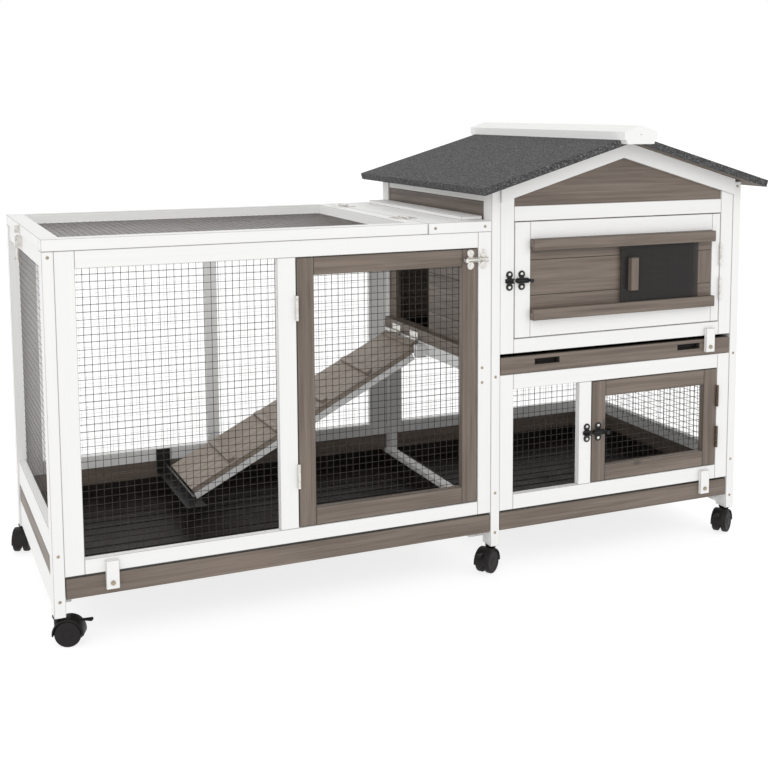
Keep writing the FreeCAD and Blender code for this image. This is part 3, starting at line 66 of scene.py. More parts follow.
# %% One class for a socket, one for a material
class Flow:
    """The value that comes out of a node. Arithmetic on it adds Math nodes."""

    def __init__(self, finish, socket):
        self.finish = finish
        self.socket = socket

    def maths(self, operation, first, second):
        return self.finish.node("ShaderNodeMath", {"operation": operation}, {0: first, 1: second})

    def __add__(self, other):
        return self.maths("ADD", self, other)

    def __sub__(self, other):
        return self.maths("SUBTRACT", self, other)

    def __rsub__(self, other):
        return self.maths("SUBTRACT", other, self)

    def __mul__(self, other):
        return self.maths("MULTIPLY", self, other)

    def __gt__(self, other):
        return self.maths("GREATER_THAN", self, other)

    __radd__ = __add__
    __rmul__ = __mul__


class Finish:
    """A material whose nodes are added one by one."""

    def __init__(self, name):
        self.material = bpy.data.materials.new(name)
        self.material.use_nodes = True
        self.tree = self.material.node_tree
        self.tree.nodes.clear()

    def node(self, kind, settings=None, inputs=None, output=0):
        """Adds a node: its settings first, then the values or links of its sockets."""
        made = self.tree.nodes.new(kind)
        for key, value in (settings or {}).items():
            if key == "stops":
                ramp = made.color_ramp.elements
                for number, (place, grey) in enumerate(value):
                    stop = ramp[number] if number < 2 else ramp.new(place)
                    stop.position = place
                    stop.color = (*grey, 1) if isinstance(grey, tuple) else (grey, grey, grey, 1)
            else:
                setattr(made, key, value)
        for key, value in (inputs or {}).items():
            if isinstance(value, Flow):
                self.tree.links.new(value.socket, made.inputs[key])
            else:
                made.inputs[key].default_value = value
        return Flow(self, made.outputs[output] if made.outputs else None)

    def blend(self, factor, first, second):
        """A colour between two colours."""
        first = (*first, 1) if isinstance(first, tuple) else first
        second = (*second, 1) if isinstance(second, tuple) else second
        return self.node("ShaderNodeMix", {"data_type": "RGBA"}, {0: factor, 6: first, 7: second}, 2)

    def noise(self, place, stretch, detail=3, rough=0.5):
        """Noise between 0 and 1 whose features are 1 / stretch metres long along each axis."""
        scaled = self.node("ShaderNodeVectorMath", {"operation": "MULTIPLY"}, {0: place, 1: stretch})
        return self.node("ShaderNodeTexNoise", {}, {"Vector": scaled, "Scale": 1, "Detail": detail,
                                                    "Roughness": rough})

    def cells(self, place, stretch, output):
        """Voronoi cells: their distance, colour or place."""
        scaled = self.node("ShaderNodeVectorMath", {"operation": "MULTIPLY"}, {0: place, 1: stretch})
        return self.node("ShaderNodeTexVoronoi", {}, {"Vector": scaled, "Scale": 1}, output)

    def step(self, value, low, high):
        """0 below low, 1 above high, and smooth in between."""
        return self.node("ShaderNodeMapRange", {"interpolation_type": "SMOOTHSTEP"},
                         {"Value": value, "From Min": low, "From Max": high})

    def done(self, colour, roughness, height=None, bump=0.0, strength=0.0, **constants):
        """The surface shader with its colour, roughness and bump. Constants sit on their own sockets."""
        inputs = {"Base Color": (*colour, 1) if isinstance(colour, tuple) else colour,
                  "Roughness": roughness}
        for key, value in constants.items():
            inputs[key.replace("_", " ")] = value
        if height is not None:
            inputs["Normal"] = self.node("ShaderNodeBump", {}, {"Height": height, "Distance": bump,
                                                                "Strength": strength})
        surface = self.node("ShaderNodeBsdfPrincipled", {}, inputs)
        self.node("ShaderNodeOutputMaterial", {}, {"Surface": surface})
        return self.material


# %% [markdown]
# ## Painted boards
# The hutch is fir: white satin paint on the frames, taupe stain on the cladding and doors. Under thin
# paint the grain still shows as long streaks, with a knot here and there, and each board is cut from
# another place in the log. So the pattern follows the board, not the room: every board carries its own
# coordinates, along, across and through. The eased edges are painted darker, as painted shade in the
# seams between boards, which draws a thin dark line round each board.


# %% Wood finishes
STREAKS = (2.5, 90, 90)
FIBRES = (9, 420, 420)
CLOUDS = (7, 9, 9)
SEAM_SHADE_SPOTS = (40, 60, 60)
LATE_WOOD = (2, 130, 130)
FINE_FIBRES = (20, 1100, 1100)
KNOT_CELLS = (9, 22, 22)
KNOTLESS = 0.74
DISTANCE = 0
COLOUR = 1
VECTOR_OUTPUT = 1
FACTOR_OUTPUT = 2


def board_place(finish):
    """The board's own coordinates, in metres, which its mesh carries as an attribute."""
    return finish.node("ShaderNodeAttribute", {"attribute_name": "grain"}, {}, VECTOR_OUTPUT)


def seam_shade_mask(finish):
    """Where painted shade goes: 1 on the eased edges of a board, or on the top, bottom and ends of a tray
    front, 0 elsewhere.
    """
    return finish.node("ShaderNodeAttribute", {"attribute_name": "edge"}, {}, FACTOR_OUTPUT)


def knots(finish, place):
    """Round dark eyes in about one cell of the board in four."""
    reach = finish.cells(place, KNOT_CELLS, DISTANCE)
    pick = finish.node("ShaderNodeSeparateColor", {}, {0: finish.cells(place, KNOT_CELLS, COLOUR)})
    return (1 - finish.step(reach, 0.03, 0.15)) * (pick > KNOTLESS)


def painted_wood(name, light, dark, streak, knot, seam):
    """Paint or stain on fir: streaks along the board, fine fibres, knots, and painted shade along the eased
    edges.
    """
    finish = Finish(name)
    place = board_place(finish)
    figure = finish.step(finish.noise(place, STREAKS, 5, 0.65), 0.32, 0.68)
    fibre = finish.noise(place, FIBRES, 3, 0.6)
    hair = finish.step(fibre, 0.52, 0.7)
    cloud = finish.noise(place, CLOUDS, 2)
    eye = knots(finish, place)
    colour = finish.blend(figure * streak + cloud * (streak * 0.5) + hair * (streak * 0.5), light, dark)
    colour = finish.blend(eye * knot, colour, tuple(part * 0.45 for part in dark))
    # Painted shade: the eased edges take the dark seam colour, broken up by noise.
    seam_shade = seam_shade_mask(finish) * (finish.noise(place, SEAM_SHADE_SPOTS, 3) * 0.5 + 0.5)
    colour = finish.blend(seam_shade, colour, seam)
    height = figure * 0.45 + fibre * 0.5 + eye * 0.6
    roughness = fibre * 0.16 + figure * 0.08 + 0.38
    return finish.done(colour, roughness, height, bump=0.4 * MM, strength=0.45)


def bare_wood(name, light, dark):
    """Unpainted fir, coloured dark as painted shade under the eaves: early wood between narrow, darker late
    wood.
    """
    finish = Finish(name)
    place = board_place(finish)
    figure = finish.step(finish.noise(place, LATE_WOOD, 4, 0.65), 0.38, 0.66)
    fibre = finish.noise(place, FINE_FIBRES, 2)
    colour = finish.blend(figure * 0.75 + fibre * 0.2, light, dark)
    colour = finish.blend(knots(finish, place) * 0.7, colour, (0.12, 0.06, 0.03))
    height = figure * 0.4 + fibre * 0.6
    return finish.done(colour, fibre * 0.2 + 0.55, height, bump=0.4 * MM, strength=0.6)


WHITE = painted_wood("white_paint", light=(0.795, 0.793, 0.785), dark=(0.69, 0.685, 0.67), streak=0.14,
                     knot=0.06, seam=(0.36, 0.34, 0.32))
TAUPE = painted_wood("taupe_stain", light=(0.205, 0.161, 0.129), dark=(0.088, 0.067, 0.053), streak=0.62,
                     knot=0.8, seam=(0.03, 0.036, 0.03))
DECK = painted_wood("ramp_stain", light=(0.31, 0.262, 0.212), dark=(0.19, 0.155, 0.122), streak=0.6,
                    knot=0.6, seam=(0.09, 0.07, 0.055))
# Painted shade: the roof boards are coloured dark for the shade under the eaves.
SHADED_EAVES = bare_wood("roof_board_painted_shade", light=(0.12, 0.095, 0.07), dark=(0.07, 0.052, 0.036))
print("wood finishes:", WHITE.name, TAUPE.name, DECK.name, SHADED_EAVES.name)

# %% [markdown]
# ## Plastic, felt, metal and wire
# The roof is bitumen felt pressed with slate grains about a millimetre wide. The trays and casters are
# moulded plastic with a fine pebble texture. Hinges are nickel or aged bronze, and the house's bolts are
# black enamel. One wire is given three tones that stand in for how light falls on it, as painted light and
# shade: dark in front, lighter on the lid and the side, and pale behind. Each is a small scale pattern in
# the object's own space, so it stays with the piece when a door swings.


# %% Other finishes
FELT_GRAINS = (520, 520, 520)
FELT_PATCHES = (14, 14, 14)
SLATE_GREYS = [(0, 0.012), (1, 0.2), (0.45, 0.042), (0.85, 0.095)]
DUST_CLOUDS = (22, 22, 22)
RUBBING = (90, 90, 1600)
BLOTCHES = (160, 160, 160)
SLIDE_MARKS = (6, 60, 500)
OBJECT_OUTPUT = 3


def body_place(finish):
    """The object's own coordinates, in metres."""
    return finish.node("ShaderNodeTexCoord", {}, {}, OBJECT_OUTPUT)


def slate_felt():
    """Dark grains, some of them pale, each a little dome of its own."""
    finish = Finish("slate_felt")
    place = body_place(finish)
    reach = finish.cells(place, FELT_GRAINS, DISTANCE)
    pick = finish.node("ShaderNodeSeparateColor", {}, {0: finish.cells(place, FELT_GRAINS, COLOUR)})
    patch = finish.noise(place, FELT_PATCHES, 3)
    grain = finish.node("ShaderNodeValToRGB", {"stops": SLATE_GREYS}, {0: pick})
    colour = finish.blend(patch * 0.4, grain, (0.052, 0.054, 0.058))
    return finish.done(colour, 0.88, 1 - reach, bump=0.8 * MM, strength=0.8)


def moulded(name, light, dark, pebble, roughness):
    """Plastic with a pebbled skin and a little dust."""
    finish = Finish(name)
    place = body_place(finish)
    skin = finish.noise(place, (pebble, pebble, pebble), 2)
    dust = finish.step(finish.noise(place, DUST_CLOUDS, 4), 0.35, 0.75)
    colour = finish.blend(dust, dark, light)
    return finish.done(colour, dust * 0.15 + skin * 0.1 + roughness, skin, bump=0.2 * MM, strength=0.4,
                       Specular_IOR_Level=0.18)


def plated(name, light, dark, roughness, **constants):
    """Metal or enamel whose gloss varies with fine rubbing marks."""
    finish = Finish(name)
    place = body_place(finish)
    rub = finish.noise(place, RUBBING, 3)
    blotch = finish.noise(place, BLOTCHES, 3)
    colour = finish.blend(finish.step(blotch, 0.4, 0.7), light, dark)
    return finish.done(colour, rub * 0.14 + blotch * 0.1 + roughness, rub * 0.5 + blotch, bump=0.1 * MM,
                       strength=0.3, **constants)


def shade_tinted_pane():
    """Clear acrylic sheet with faint sliding marks, coloured near black and part opaque as painted shade of
    the dark inside behind it.
    """
    finish = Finish("acrylic_pane")
    place = body_place(finish)
    marks = finish.step(finish.noise(place, SLIDE_MARKS, 3), 0.55, 0.8)
    return finish.done((0.035, 0.033, 0.032), marks * 0.12 + 0.04, marks, bump=0.1 * MM, strength=0.2,
                       Alpha=0.6, Specular_IOR_Level=0.2)


FELT = slate_felt()
TRAY = moulded("tray_plastic", (0.02, 0.016, 0.015), (0.011, 0.009, 0.008), pebble=900, roughness=0.4)
BLACK = moulded("caster_plastic", (0.018, 0.016, 0.015), (0.01, 0.009, 0.009), pebble=1400, roughness=0.36)
TREAD = moulded("wheel_plastic", (0.024, 0.021, 0.02), (0.014, 0.012, 0.012), pebble=700, roughness=0.45)
NICKEL = plated("nickel", (0.78, 0.76, 0.72), (0.6, 0.58, 0.55), roughness=0.18, Metallic=1.0)
ENAMEL = plated("black_enamel", (0.012, 0.012, 0.012), (0.02, 0.02, 0.021), roughness=0.3,
                Specular_IOR_Level=0.3)
BRASSED = plated("screw_plate", (0.42, 0.36, 0.27), (0.24, 0.2, 0.15), roughness=0.3, Metallic=1.0)
# One wire in three tones for how light falls on it: dark in front, lighter on lid and side, pale behind, as
# painted light and shade.
WIRE = plated("dark_wire", (0.04, 0.034, 0.03), (0.022, 0.019, 0.017), roughness=0.5,
              Specular_IOR_Level=0.2)
PALE_BACK_WIRE = plated("pale_back_wire", (0.86, 0.86, 0.86), (0.74, 0.74, 0.74), roughness=0.4)
LIT_WIRE = plated("lit_wire", (0.105, 0.088, 0.078), (0.06, 0.05, 0.045), roughness=0.45)
BRONZE = plated("aged_hinge", (0.12, 0.085, 0.055), (0.06, 0.045, 0.032), roughness=0.34, Metallic=0.7)
# Painted shade: the clear pane is coloured near black for the dark inside behind it.
PANE = shade_tinted_pane()
print("finishes:", len(bpy.data.materials))

# %% [markdown]
# ## From CAD solids to boards with grain
# A node's mesh holds its solids one after another as loose triangles. Walking the triangles, a solid is
# complete when every edge has been met once from each side. A copy of each solid then gets its board
# coordinates: the longest side is along the grain, and a chance offset makes no two boards alike.


# %% Take a node's solids apart
def solids_of(node):
    """The closed solids of a node, as pairs of corners and triangles."""
    mesh = nodes[node].data
    corners = np.empty(len(mesh.vertices) * 3)
    mesh.vertices.foreach_get("co", corners)
    mesh.calc_loop_triangles()
    triangles = np.empty(len(mesh.loop_triangles) * 3, dtype=np.int32)
    mesh.loop_triangles.foreach_get("vertices", triangles)
    corners, same = np.unique(np.round(corners.reshape(-1, 3), 6), axis=0, return_inverse=True)
    triangles = same.reshape(-1)[triangles].reshape(-1, 3)
    found = []
    waiting = {}
    start = 0
    for number, (a, b, c) in enumerate(triangles.tolist()):
        for edge in ((a, b), (b, c), (c, a)):
            back = (edge[1], edge[0])
            if waiting.get(back):
                waiting[back] -= 1
                if not waiting[back]:
                    del waiting[back]
            else:
                waiting[edge] = waiting.get(edge, 0) + 1
        if not waiting:
            part = triangles[start:number + 1]
            used, index = np.unique(part, return_inverse=True)
            found.append((corners[used], index.reshape(-1, 3)))
            start = number + 1
    return found


def new_piece(name, corners, faces, body, finish, smooth=False):
    """A mesh object at the origin that rides on a body."""
    mesh = bpy.data.meshes.new(name)
    mesh.from_pydata(np.asarray(corners).tolist(), [], [list(face) for face in faces])
    mesh.materials.append(finish)
    piece = bpy.data.objects.new(name, mesh)
    bpy.context.scene.collection.objects.link(piece)
    if smooth:
        mesh.shade_smooth()
        mesh.set_sharp_from_angle(angle=math.radians(35))
    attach(piece, body)
    return piece


def tilted(points, turn):
    """The points in axes that are turned about Y by an angle in degrees."""
    angle = math.radians(turn)
    along = points[:, 0] * math.cos(angle) - points[:, 2] * math.sin(angle)
    up = points[:, 0] * math.sin(angle) + points[:, 2] * math.cos(angle)
    return np.stack([along, points[:, 1], up], axis=1)


EASED_WIDTH = 1.6 * MM
LOG_SIZE = 9
SQUARE_ON = 0.98
TINY = 1e-12


def boards(name, solids, body, finish, turn=0.0):
    """Solids as one piece whose mesh carries the grain coordinates and the mask of eased edges."""
    corners = []
    faces = []
    grain = []
    edge = []
    count = 0
    for points, triangles in solids:
        local = tilted(points, turn)
        order = np.argsort(-np.ptp(local, axis=0))
        middle = (local.max(axis=0) + local.min(axis=0)) / 2
        grain.append((local - middle)[:, order] + chance.uniform(0, LOG_SIZE, 3))
        sides = local[triangles]
        normal = np.cross(sides[:, 1] - sides[:, 0], sides[:, 2] - sides[:, 0])
        twice_area = np.maximum(np.linalg.norm(normal, axis=1), TINY)
        longest = np.linalg.norm(sides - np.roll(sides, 1, axis=1), axis=2).max(axis=1)
        slanted = (np.abs(normal) / twice_area[:, None]).max(axis=1) < SQUARE_ON
        edge.append(slanted & (twice_area / longest < EASED_WIDTH))
        corners.append(points)
        faces.append(triangles + count)
        count += len(points)
    piece = new_piece(name, np.concatenate(corners), np.concatenate(faces), body, finish)
    places = piece.data.attributes.new("grain", "FLOAT_VECTOR", "POINT")
    places.data.foreach_set("vector", np.concatenate(grain).ravel())
    mask = piece.data.attributes.new("edge", "FLOAT", "FACE")
    mask.data.foreach_set("value", np.concatenate(edge).astype(float))
    return piece


def dress(node, finish):
    """A wooden CAD node again, board by board, with grain."""
    solids = solids_of(node)
    piece = boards(node + "_boards", solids, body_of[node], finish)
    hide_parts(node)
    return len(solids)


body_of = {}
for body, members in frame["record"]["behaviour"]["bodies"].items():
    for member in members:
        body_of[member] = body

# %% Dress the wooden nodes
WHITE_NODES = ["corner_posts", "run_front_frame", "run_back_and_side_frames", "house_front_frame",
               "house_rails", "lid_frame", "top_strip", "upper_door_frame", "barge_boards", "ridge_cap",
               "tray_runners", "run_tray_button", "lower_tray_button", "upper_tray_button"]
TAUPE_NODES = ["base_boards", "house_left_wall", "house_outer_walls", "gable_boards", "run_door_frame",
               "lower_door_frame", "upper_door_panel"]
count = 0
for node in WHITE_NODES:
    count += dress(node, WHITE)
for node in TAUPE_NODES:
    count += dress(node, TAUPE)
print("boards with grain:", count)

# %% [markdown]
# ## Roof, ramp and trays
# The roof boards and the ramp slope, so their grain is measured in tilted axes. A tray is a wooden front
# and a moulded pan: two materials in one node, so its solids are shared out to a piece for each. The top
# and the ends of a front lie in shade, so there it takes the dark seam colour as painted shade.


# %% Roof, ramp, trays and window
ROOF_TURN = 16.5
RAMP_TURN = -27.1
EDGE_ON = 0.5
roof_left, roof_right = solids_of("roof_boards")
under = boards("roof_boards_left", [roof_left], "frame", SHADED_EAVES, -ROOF_TURN)
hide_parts("roof_boards")
boards("roof_boards_right", [roof_right], "frame", SHADED_EAVES, ROOF_TURN)
nodes["roof_felt"].data.materials.clear()
nodes["roof_felt"].data.materials.append(FELT)

ramp_parts = solids_of("ramp")
deck = boards("ramp_deck", ramp_parts[:1] + ramp_parts[3:], "ramp", DECK, RAMP_TURN)
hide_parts("ramp")
boards("ramp_battens", ramp_parts[1:3], "ramp", WHITE, RAMP_TURN)

for tray in ("run_tray", "lower_tray", "upper_tray"):
    front, pan, screw = solids_of(tray)
    wood = boards(tray + "_front", [front], tray, TAUPE)
    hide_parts(tray)
    # Painted shade: the faces of the front that do not face front or back take the dark seam colour.
    normals = np.empty(len(wood.data.polygons) * 3)
    wood.data.polygons.foreach_get("normal", normals)
    shaded = np.abs(normals.reshape(-1, 3)[:, 1]) < EDGE_ON
    wood.data.attributes["edge"].data.foreach_set("value", shaded.astype(float))
    new_piece(tray + "_pan", pan[0], pan[1], tray, TRAY)
    new_piece(tray + "_screw", screw[0], screw[1], tray, BRASSED, smooth=True)

pane, handle = solids_of("window_pane_and_handle")
glass = new_piece("window_pane", pane[0], pane[1], "window", PANE)
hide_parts("window_pane_and_handle")
boards("window_handle", [handle], "window", TAUPE)

# %% [markdown]
# ## Welded wire
# Each panel is a mesh of two sets of straight wires, one laid over the other and welded where they cross,
# at 12.7 mm pitch. A texture on a plate would lose its depth from the side, so each wire is real: a six
# sided prism. All the wires of a panel are worked out together as one array, and each is a few hundredths
# of a millimetre out of line.


# %% Wire panels
PITCH = 12.7 * MM
WIRE_RADIUS = 0.5 * MM
THIN_RADIUS = 0.35 * MM
NEAR_AXIS = 0.9
UNEVEN_PITCH = 0.05 * MM
UNEVEN_END = 0.1 * MM
LOW_LAYER = 0.27
HIGH_LAYER = 0.73
SIDES = 6


def prisms(starts, ends, radius):
    """Round bars as six sided prisms: a ring of points about each end, joined by quads."""
    along = ends - starts
    along /= np.linalg.norm(along, axis=1, keepdims=True)
    helper = np.where(np.abs(along[:, 2:3]) > NEAR_AXIS, np.array([[1.0, 0, 0]]), np.array([[0, 0, 1.0]]))
    first = np.cross(along, helper)
    first /= np.linalg.norm(first, axis=1, keepdims=True)
    second = np.cross(along, first)
    angle = np.arange(SIDES) * (2 * math.pi / SIDES)
    cosine = np.cos(angle)[None, :, None]
    sine = np.sin(angle)[None, :, None]
    ring = (first[:, None] * cosine + second[:, None] * sine) * radius
    points = np.concatenate([starts[:, None] + ring, ends[:, None] + ring], axis=1)
    base = np.arange(len(starts))[:, None, None] * (2 * SIDES)
    side = np.arange(SIDES)
    after = (side + 1) % SIDES
    quads = np.stack([side, after, after + SIDES, side + SIDES], axis=1)[None] + base
    caps = np.stack([side[::-1], side + SIDES])[None] + base
    return points.reshape(-1, 3), quads.reshape(-1, 4), caps.reshape(-1, SIDES)


def mesh_wires(low, high):
    """Ends of the two sets of wires that fill the flat box from low to high."""
    size = high - low
    thin = int(np.argmin(size))
    wide, tall = [axis for axis in range(3) if axis != thin]
    starts = []
    ends = []
    for run, across, layer in ((wide, tall, LOW_LAYER), (tall, wide, HIGH_LAYER)):
        number = int(size[across] / PITCH)
        spare = (size[across] - (number - 1) * PITCH) / 2
        place = low[across] + spare + PITCH * np.arange(number) + chance.normal(0, UNEVEN_PITCH, number)
        start = np.zeros((number, 3))
        start[:, across] = place
        start[:, run] = low[run]
        start[:, thin] = low[thin] + size[thin] * layer
        end = start.copy()
        end[:, run] = high[run]
        end[:, across] += chance.normal(0, UNEVEN_END, number)
        starts.append(start)
        ends.append(end)
    return np.concatenate(starts), np.concatenate(ends)


def wire_panel(name, node, solids, finish, radius=WIRE_RADIUS):
    """Real wires in place of the thin plates of a node."""
    ends = [mesh_wires(points.min(axis=0), points.max(axis=0)) for points, _ in solids]
    first = np.concatenate([start for start, _ in ends])
    last = np.concatenate([end for _, end in ends])
    points, quads, caps = prisms(first, last, radius)
    piece = new_piece(name, points, quads.tolist() + caps.tolist(), body_of[node], finish)
    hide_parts(node)
    return len(first)


walls = solids_of("wire_panels")
BEHIND = (1, 2, 5)
LEFT_END = 3
behind = [walls[number] for number in BEHIND]
ahead = [wall for number, wall in enumerate(walls) if number not in (*BEHIND, LEFT_END)]
# The back, side, lid and front wires take the three tones of one wire, as painted light and shade.
count = wire_panel("pale_wires", "wire_panels", behind, PALE_BACK_WIRE, THIN_RADIUS)
count += wire_panel("side_wires", "wire_panels", [walls[LEFT_END]], LIT_WIRE, THIN_RADIUS)
count += wire_panel("dark_wires", "wire_panels", ahead, WIRE)
for node in ("run_door_wire", "lower_door_wire", "window_wire"):
    count += wire_panel(node + "s", node, solids_of(node), WIRE)
count += wire_panel("lid_wires", "lid_wire", solids_of("lid_wire"), LIT_WIRE, THIN_RADIUS)
print("wires:", count)

# %% [markdown]
# ## Shapes from grids
# The metal and plastic parts are all stacks of closed rings: a profile spun about an axis, an outline
# carried through a plate's thickness, or a section carried round a hub. One function joins the rings and
# closes the two ends, and another turns a shape over if its faces point inwards.


# %% Grid helpers
def grid_faces(rows, columns, closed=False):
    """Quads of a grid of points, with the last column joined to the first where it is closed."""
    across = np.arange(columns if closed else columns - 1)
    row, column = np.meshgrid(np.arange(rows - 1), across, indexing="ij")
    after = (column + 1) % columns
    return np.stack([row * columns + column, row * columns + after, (row + 1) * columns + after,
                     (row + 1) * columns + column], axis=-1).reshape(-1, 4)


def tube_faces(rings, count):
    """Faces of a stack of closed rings: quads between them, and one flat face at each end."""
    ring = np.arange(count)
    faces = grid_faces(rings, count, closed=True).tolist()
    faces.append(ring[::-1].tolist())
    faces.append((ring + (rings - 1) * count).tolist())
    return faces


def right_side_out(points, faces):
    """The faces, turned over if the signed volume under their fans of triangles is negative."""
    fans = np.array([(face[0], *pair) for face in faces for pair in zip(face[1:], face[2:])])
    first, second, third = points[fans].transpose(1, 0, 2)
    volume = np.einsum("ij,ij->", first, np.cross(second, third))
    return points, faces if volume > 0 else [face[::-1] for face in faces]


def joined(parts):
    """Several shapes, each the right side out, as one list of points and one list of faces."""
    points = []
    faces = []
    count = 0
    for corner, face in parts:
        corner, face = right_side_out(corner, face)
        points.append(corner)
        faces.extend([[index + count for index in loop] for loop in face])
        count += len(corner)
    return np.concatenate(points), faces


def circle(count):
    """Evenly spaced angles once round."""
    return np.arange(count) * (2 * math.pi / count)


def turned_about(profile, centre, axis, sides=28):
    """A profile of (radius, height) pairs spun about an axis, in three right-handed unit vectors."""
    profile = np.asarray(profile, dtype=float)
    angle = circle(sides)
    ring = np.stack([np.cos(angle), np.sin(angle)], axis=1)
    flat = profile[:, None, :1] * ring[None]
    heights = np.broadcast_to(profile[:, None, 1:], (len(profile), sides, 1))
    points = np.concatenate([flat, heights], axis=2).reshape(-1, 3)
    upward = np.asarray(axis, dtype=float)
    helper = [0, 0, 1] if abs(upward[2]) < NEAR_AXIS else [1, 0, 0]
    side = np.cross(upward, helper)
    side /= np.linalg.norm(side)
    carried = np.stack([side, np.cross(upward, side), upward])
    return points @ carried + centre, tube_faces(len(profile), sides)


# %% [markdown]
# ## Fittings
# Hinges keep their CAD shape. A barrel bolt is made again: a plate with a round lobe and a bright screw
# at each end, and two straps that curve over the bar. The plate's outline is its half width against its
# height, and a strap is an arc carried along the bar. A screw head is a quarter ellipse spun about the
# screw.

# %% Parts of a barrel bolt
PLATE_THICK = 1.5 * MM
PLATE_RINGS = ((0, 0), (0.7, 0), (1, 0.5 * MM))
OUTLINE = 72
LOBE_RADIUS = 7.2 * MM
WAIST = 0.62
BAND_HALF = 4.5 * MM
BAR_RADIUS = 3 * MM
STRAP_ROOM = 3.5 * MM
STRAP_OUTSIDE = 4.9 * MM
STRAP_SLOT = 0.75
STRAP_INSET = 2 * MM
SCREW_INSET = 6.5 * MM
PLATE_SCREW = 3 * MM
HEAD_RISE = 0.36
HEAD_RIM = 0.08
POLE = 1e-5
FRONT = (0, -1, 0)


def screw_head(centre, axis, radius=2.8 * MM):
    """A domed head: a quarter ellipse spun about the screw's axis, with its flat back on the surface."""
    turn = np.linspace(0, math.pi / 2, 7)[1:]
    dome = np.stack([radius * np.cos(turn) + POLE, radius * HEAD_RISE * np.sin(turn)], axis=1)
    profile = np.concatenate([[(radius, 0), (radius, radius * HEAD_RIM)], dome])
    return turned_about(profile, centre, axis, 20)


def lobed_plate(low, high):
    """A plate in the XZ plane. Its half width is the widest of an end circle, a waist and a middle band."""
    middle = (low + high) / 2
    half = (high - low) / 2
    turn = circle(OUTLINE)
    rise = np.sin(turn)
    radius = min(half[0], LOBE_RADIUS)
    from_lobe = np.abs(rise) * half[2] - (half[2] - radius)
    lobe = np.sqrt(np.clip(radius ** 2 - from_lobe ** 2, 0, None))
    waist = np.where(from_lobe < 0, radius * WAIST, 0)
    band = np.where(np.abs(rise) * half[2] < BAND_HALF, half[0], 0)
    side = np.sign(np.cos(turn)) * np.maximum(np.maximum(lobe, waist), band)
    rings = []
    for depth, inset in PLATE_RINGS:
        across = middle[0] + side * (1 - inset / half[0])
        front = np.full(OUTLINE, high[1] - depth * PLATE_THICK)
        rings.append(np.stack([across, front, middle[2] + rise * (half[2] - inset)], axis=1))
    return np.concatenate(rings), tube_faces(len(PLATE_RINGS), OUTLINE)


def strap(x0, x1, bar_y, bar_z, face_y):
    """Two curved halves over the bar, an arc each, from the plate to the slot in front."""
    shapes = []
    turn = np.linspace(0, math.pi / 2 - STRAP_SLOT, 9)
    arc = np.stack([np.sin(turn), np.cos(turn)], axis=1)
    foot = np.array([[bar_y - face_y, STRAP_ROOM], [bar_y - face_y, STRAP_OUTSIDE]])
    loop = np.concatenate([foot[:1], arc * STRAP_ROOM, arc[::-1] * STRAP_OUTSIDE, foot[1:]])
    for way in (1, -1):
        ends = [np.stack([np.full(len(loop), x), bar_y - loop[:, 0], bar_z + way * loop[:, 1]], axis=1)
                for x in (x0, x1)]
        shapes.append((np.concatenate(ends), tube_faces(2, len(loop))))
    return shapes


def bolt_part(name, solid, body, finish, bar_y):
    """The plate, straps and screws that stand for one half of a barrel bolt."""
    low, high = solid[0].min(axis=0), solid[0].max(axis=0)
    middle = (low + high) / 2
    face_y = high[1] - PLATE_THICK
    shapes = [lobed_plate(low, high)]
    shapes += strap(low[0] + STRAP_INSET, high[0] - STRAP_INSET, bar_y, middle[2], face_y)
    new_piece(name, *joined(shapes), body, finish, smooth=True)
    reach = (high[2] - low[2]) / 2 - SCREW_INSET
    heads = [screw_head(np.array([middle[0], face_y, middle[2] + way * reach]), FRONT, PLATE_SCREW)
             for way in (1, -1)]
    new_piece(name + "_screws", *joined(heads), body, NICKEL, smooth=True)


def solid_pieces(name, solids, body, finish):
    """CAD solids as one piece in a finish."""
    shapes = [(corner, face.tolist()) for corner, face in solids]
    return new_piece(name, *joined(shapes), body, finish, smooth=True)


def refinish(node, finish):
    """Another material on a CAD node that stays as it is."""
    nodes[node].data.materials.clear()
    nodes[node].data.materials.append(finish)


# %% Hinges and bolts in place
fixed = solids_of("frame_hardware")
FIXED = {"run_hinge": fixed[0:2], "run_keeper": fixed[2], "lower_hinge": fixed[3:5],
         "lower_keeper": fixed[5], "upper_hinge": fixed[6:8], "upper_keeper": fixed[8],
         "lid_hinge": fixed[9:11], "lid_latch": fixed[11:12], "ramp_hinge": fixed[12:14]}
bright = FIXED["run_hinge"] + FIXED["lid_hinge"] + FIXED["lid_latch"] + FIXED["ramp_hinge"]
plates = solid_pieces("nickel_fittings", bright, "frame", NICKEL)
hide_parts("frame_hardware")
solid_pieces("lower_fixed_hinges", FIXED["lower_hinge"], "frame", BRONZE)
solid_pieces("upper_fixed_hinges", FIXED["upper_hinge"], "frame", NICKEL)
for door, finish, hinge in (("run", NICKEL, NICKEL), ("lower", ENAMEL, BRONZE), ("upper", ENAMEL, NICKEL)):
    body = f"{door}_door"
    first, second, barrel = solids_of(f"{body}_hardware")
    bar_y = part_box(f"{body}_bolt")[1][1] - BAR_RADIUS
    leaves = solid_pieces(f"{body}_hinges", [first, second], body, hinge)
    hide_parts(f"{body}_hardware")
    bolt_part(f"{body}_barrel", barrel, body, finish, bar_y)
    bolt_part(f"{body}_keeper", FIXED[f"{door}_keeper"], "frame", finish, bar_y)
for node in ("run_door_bolt", "lid_bolt", "lid_hardware", "ramp_hinge_leaves"):
    refinish(node, NICKEL)
for node in ("lower_door_bolt", "upper_door_bolt", "ramp_foot"):
    refinish(node, ENAMEL)
print("fixed fittings:", len(fixed))

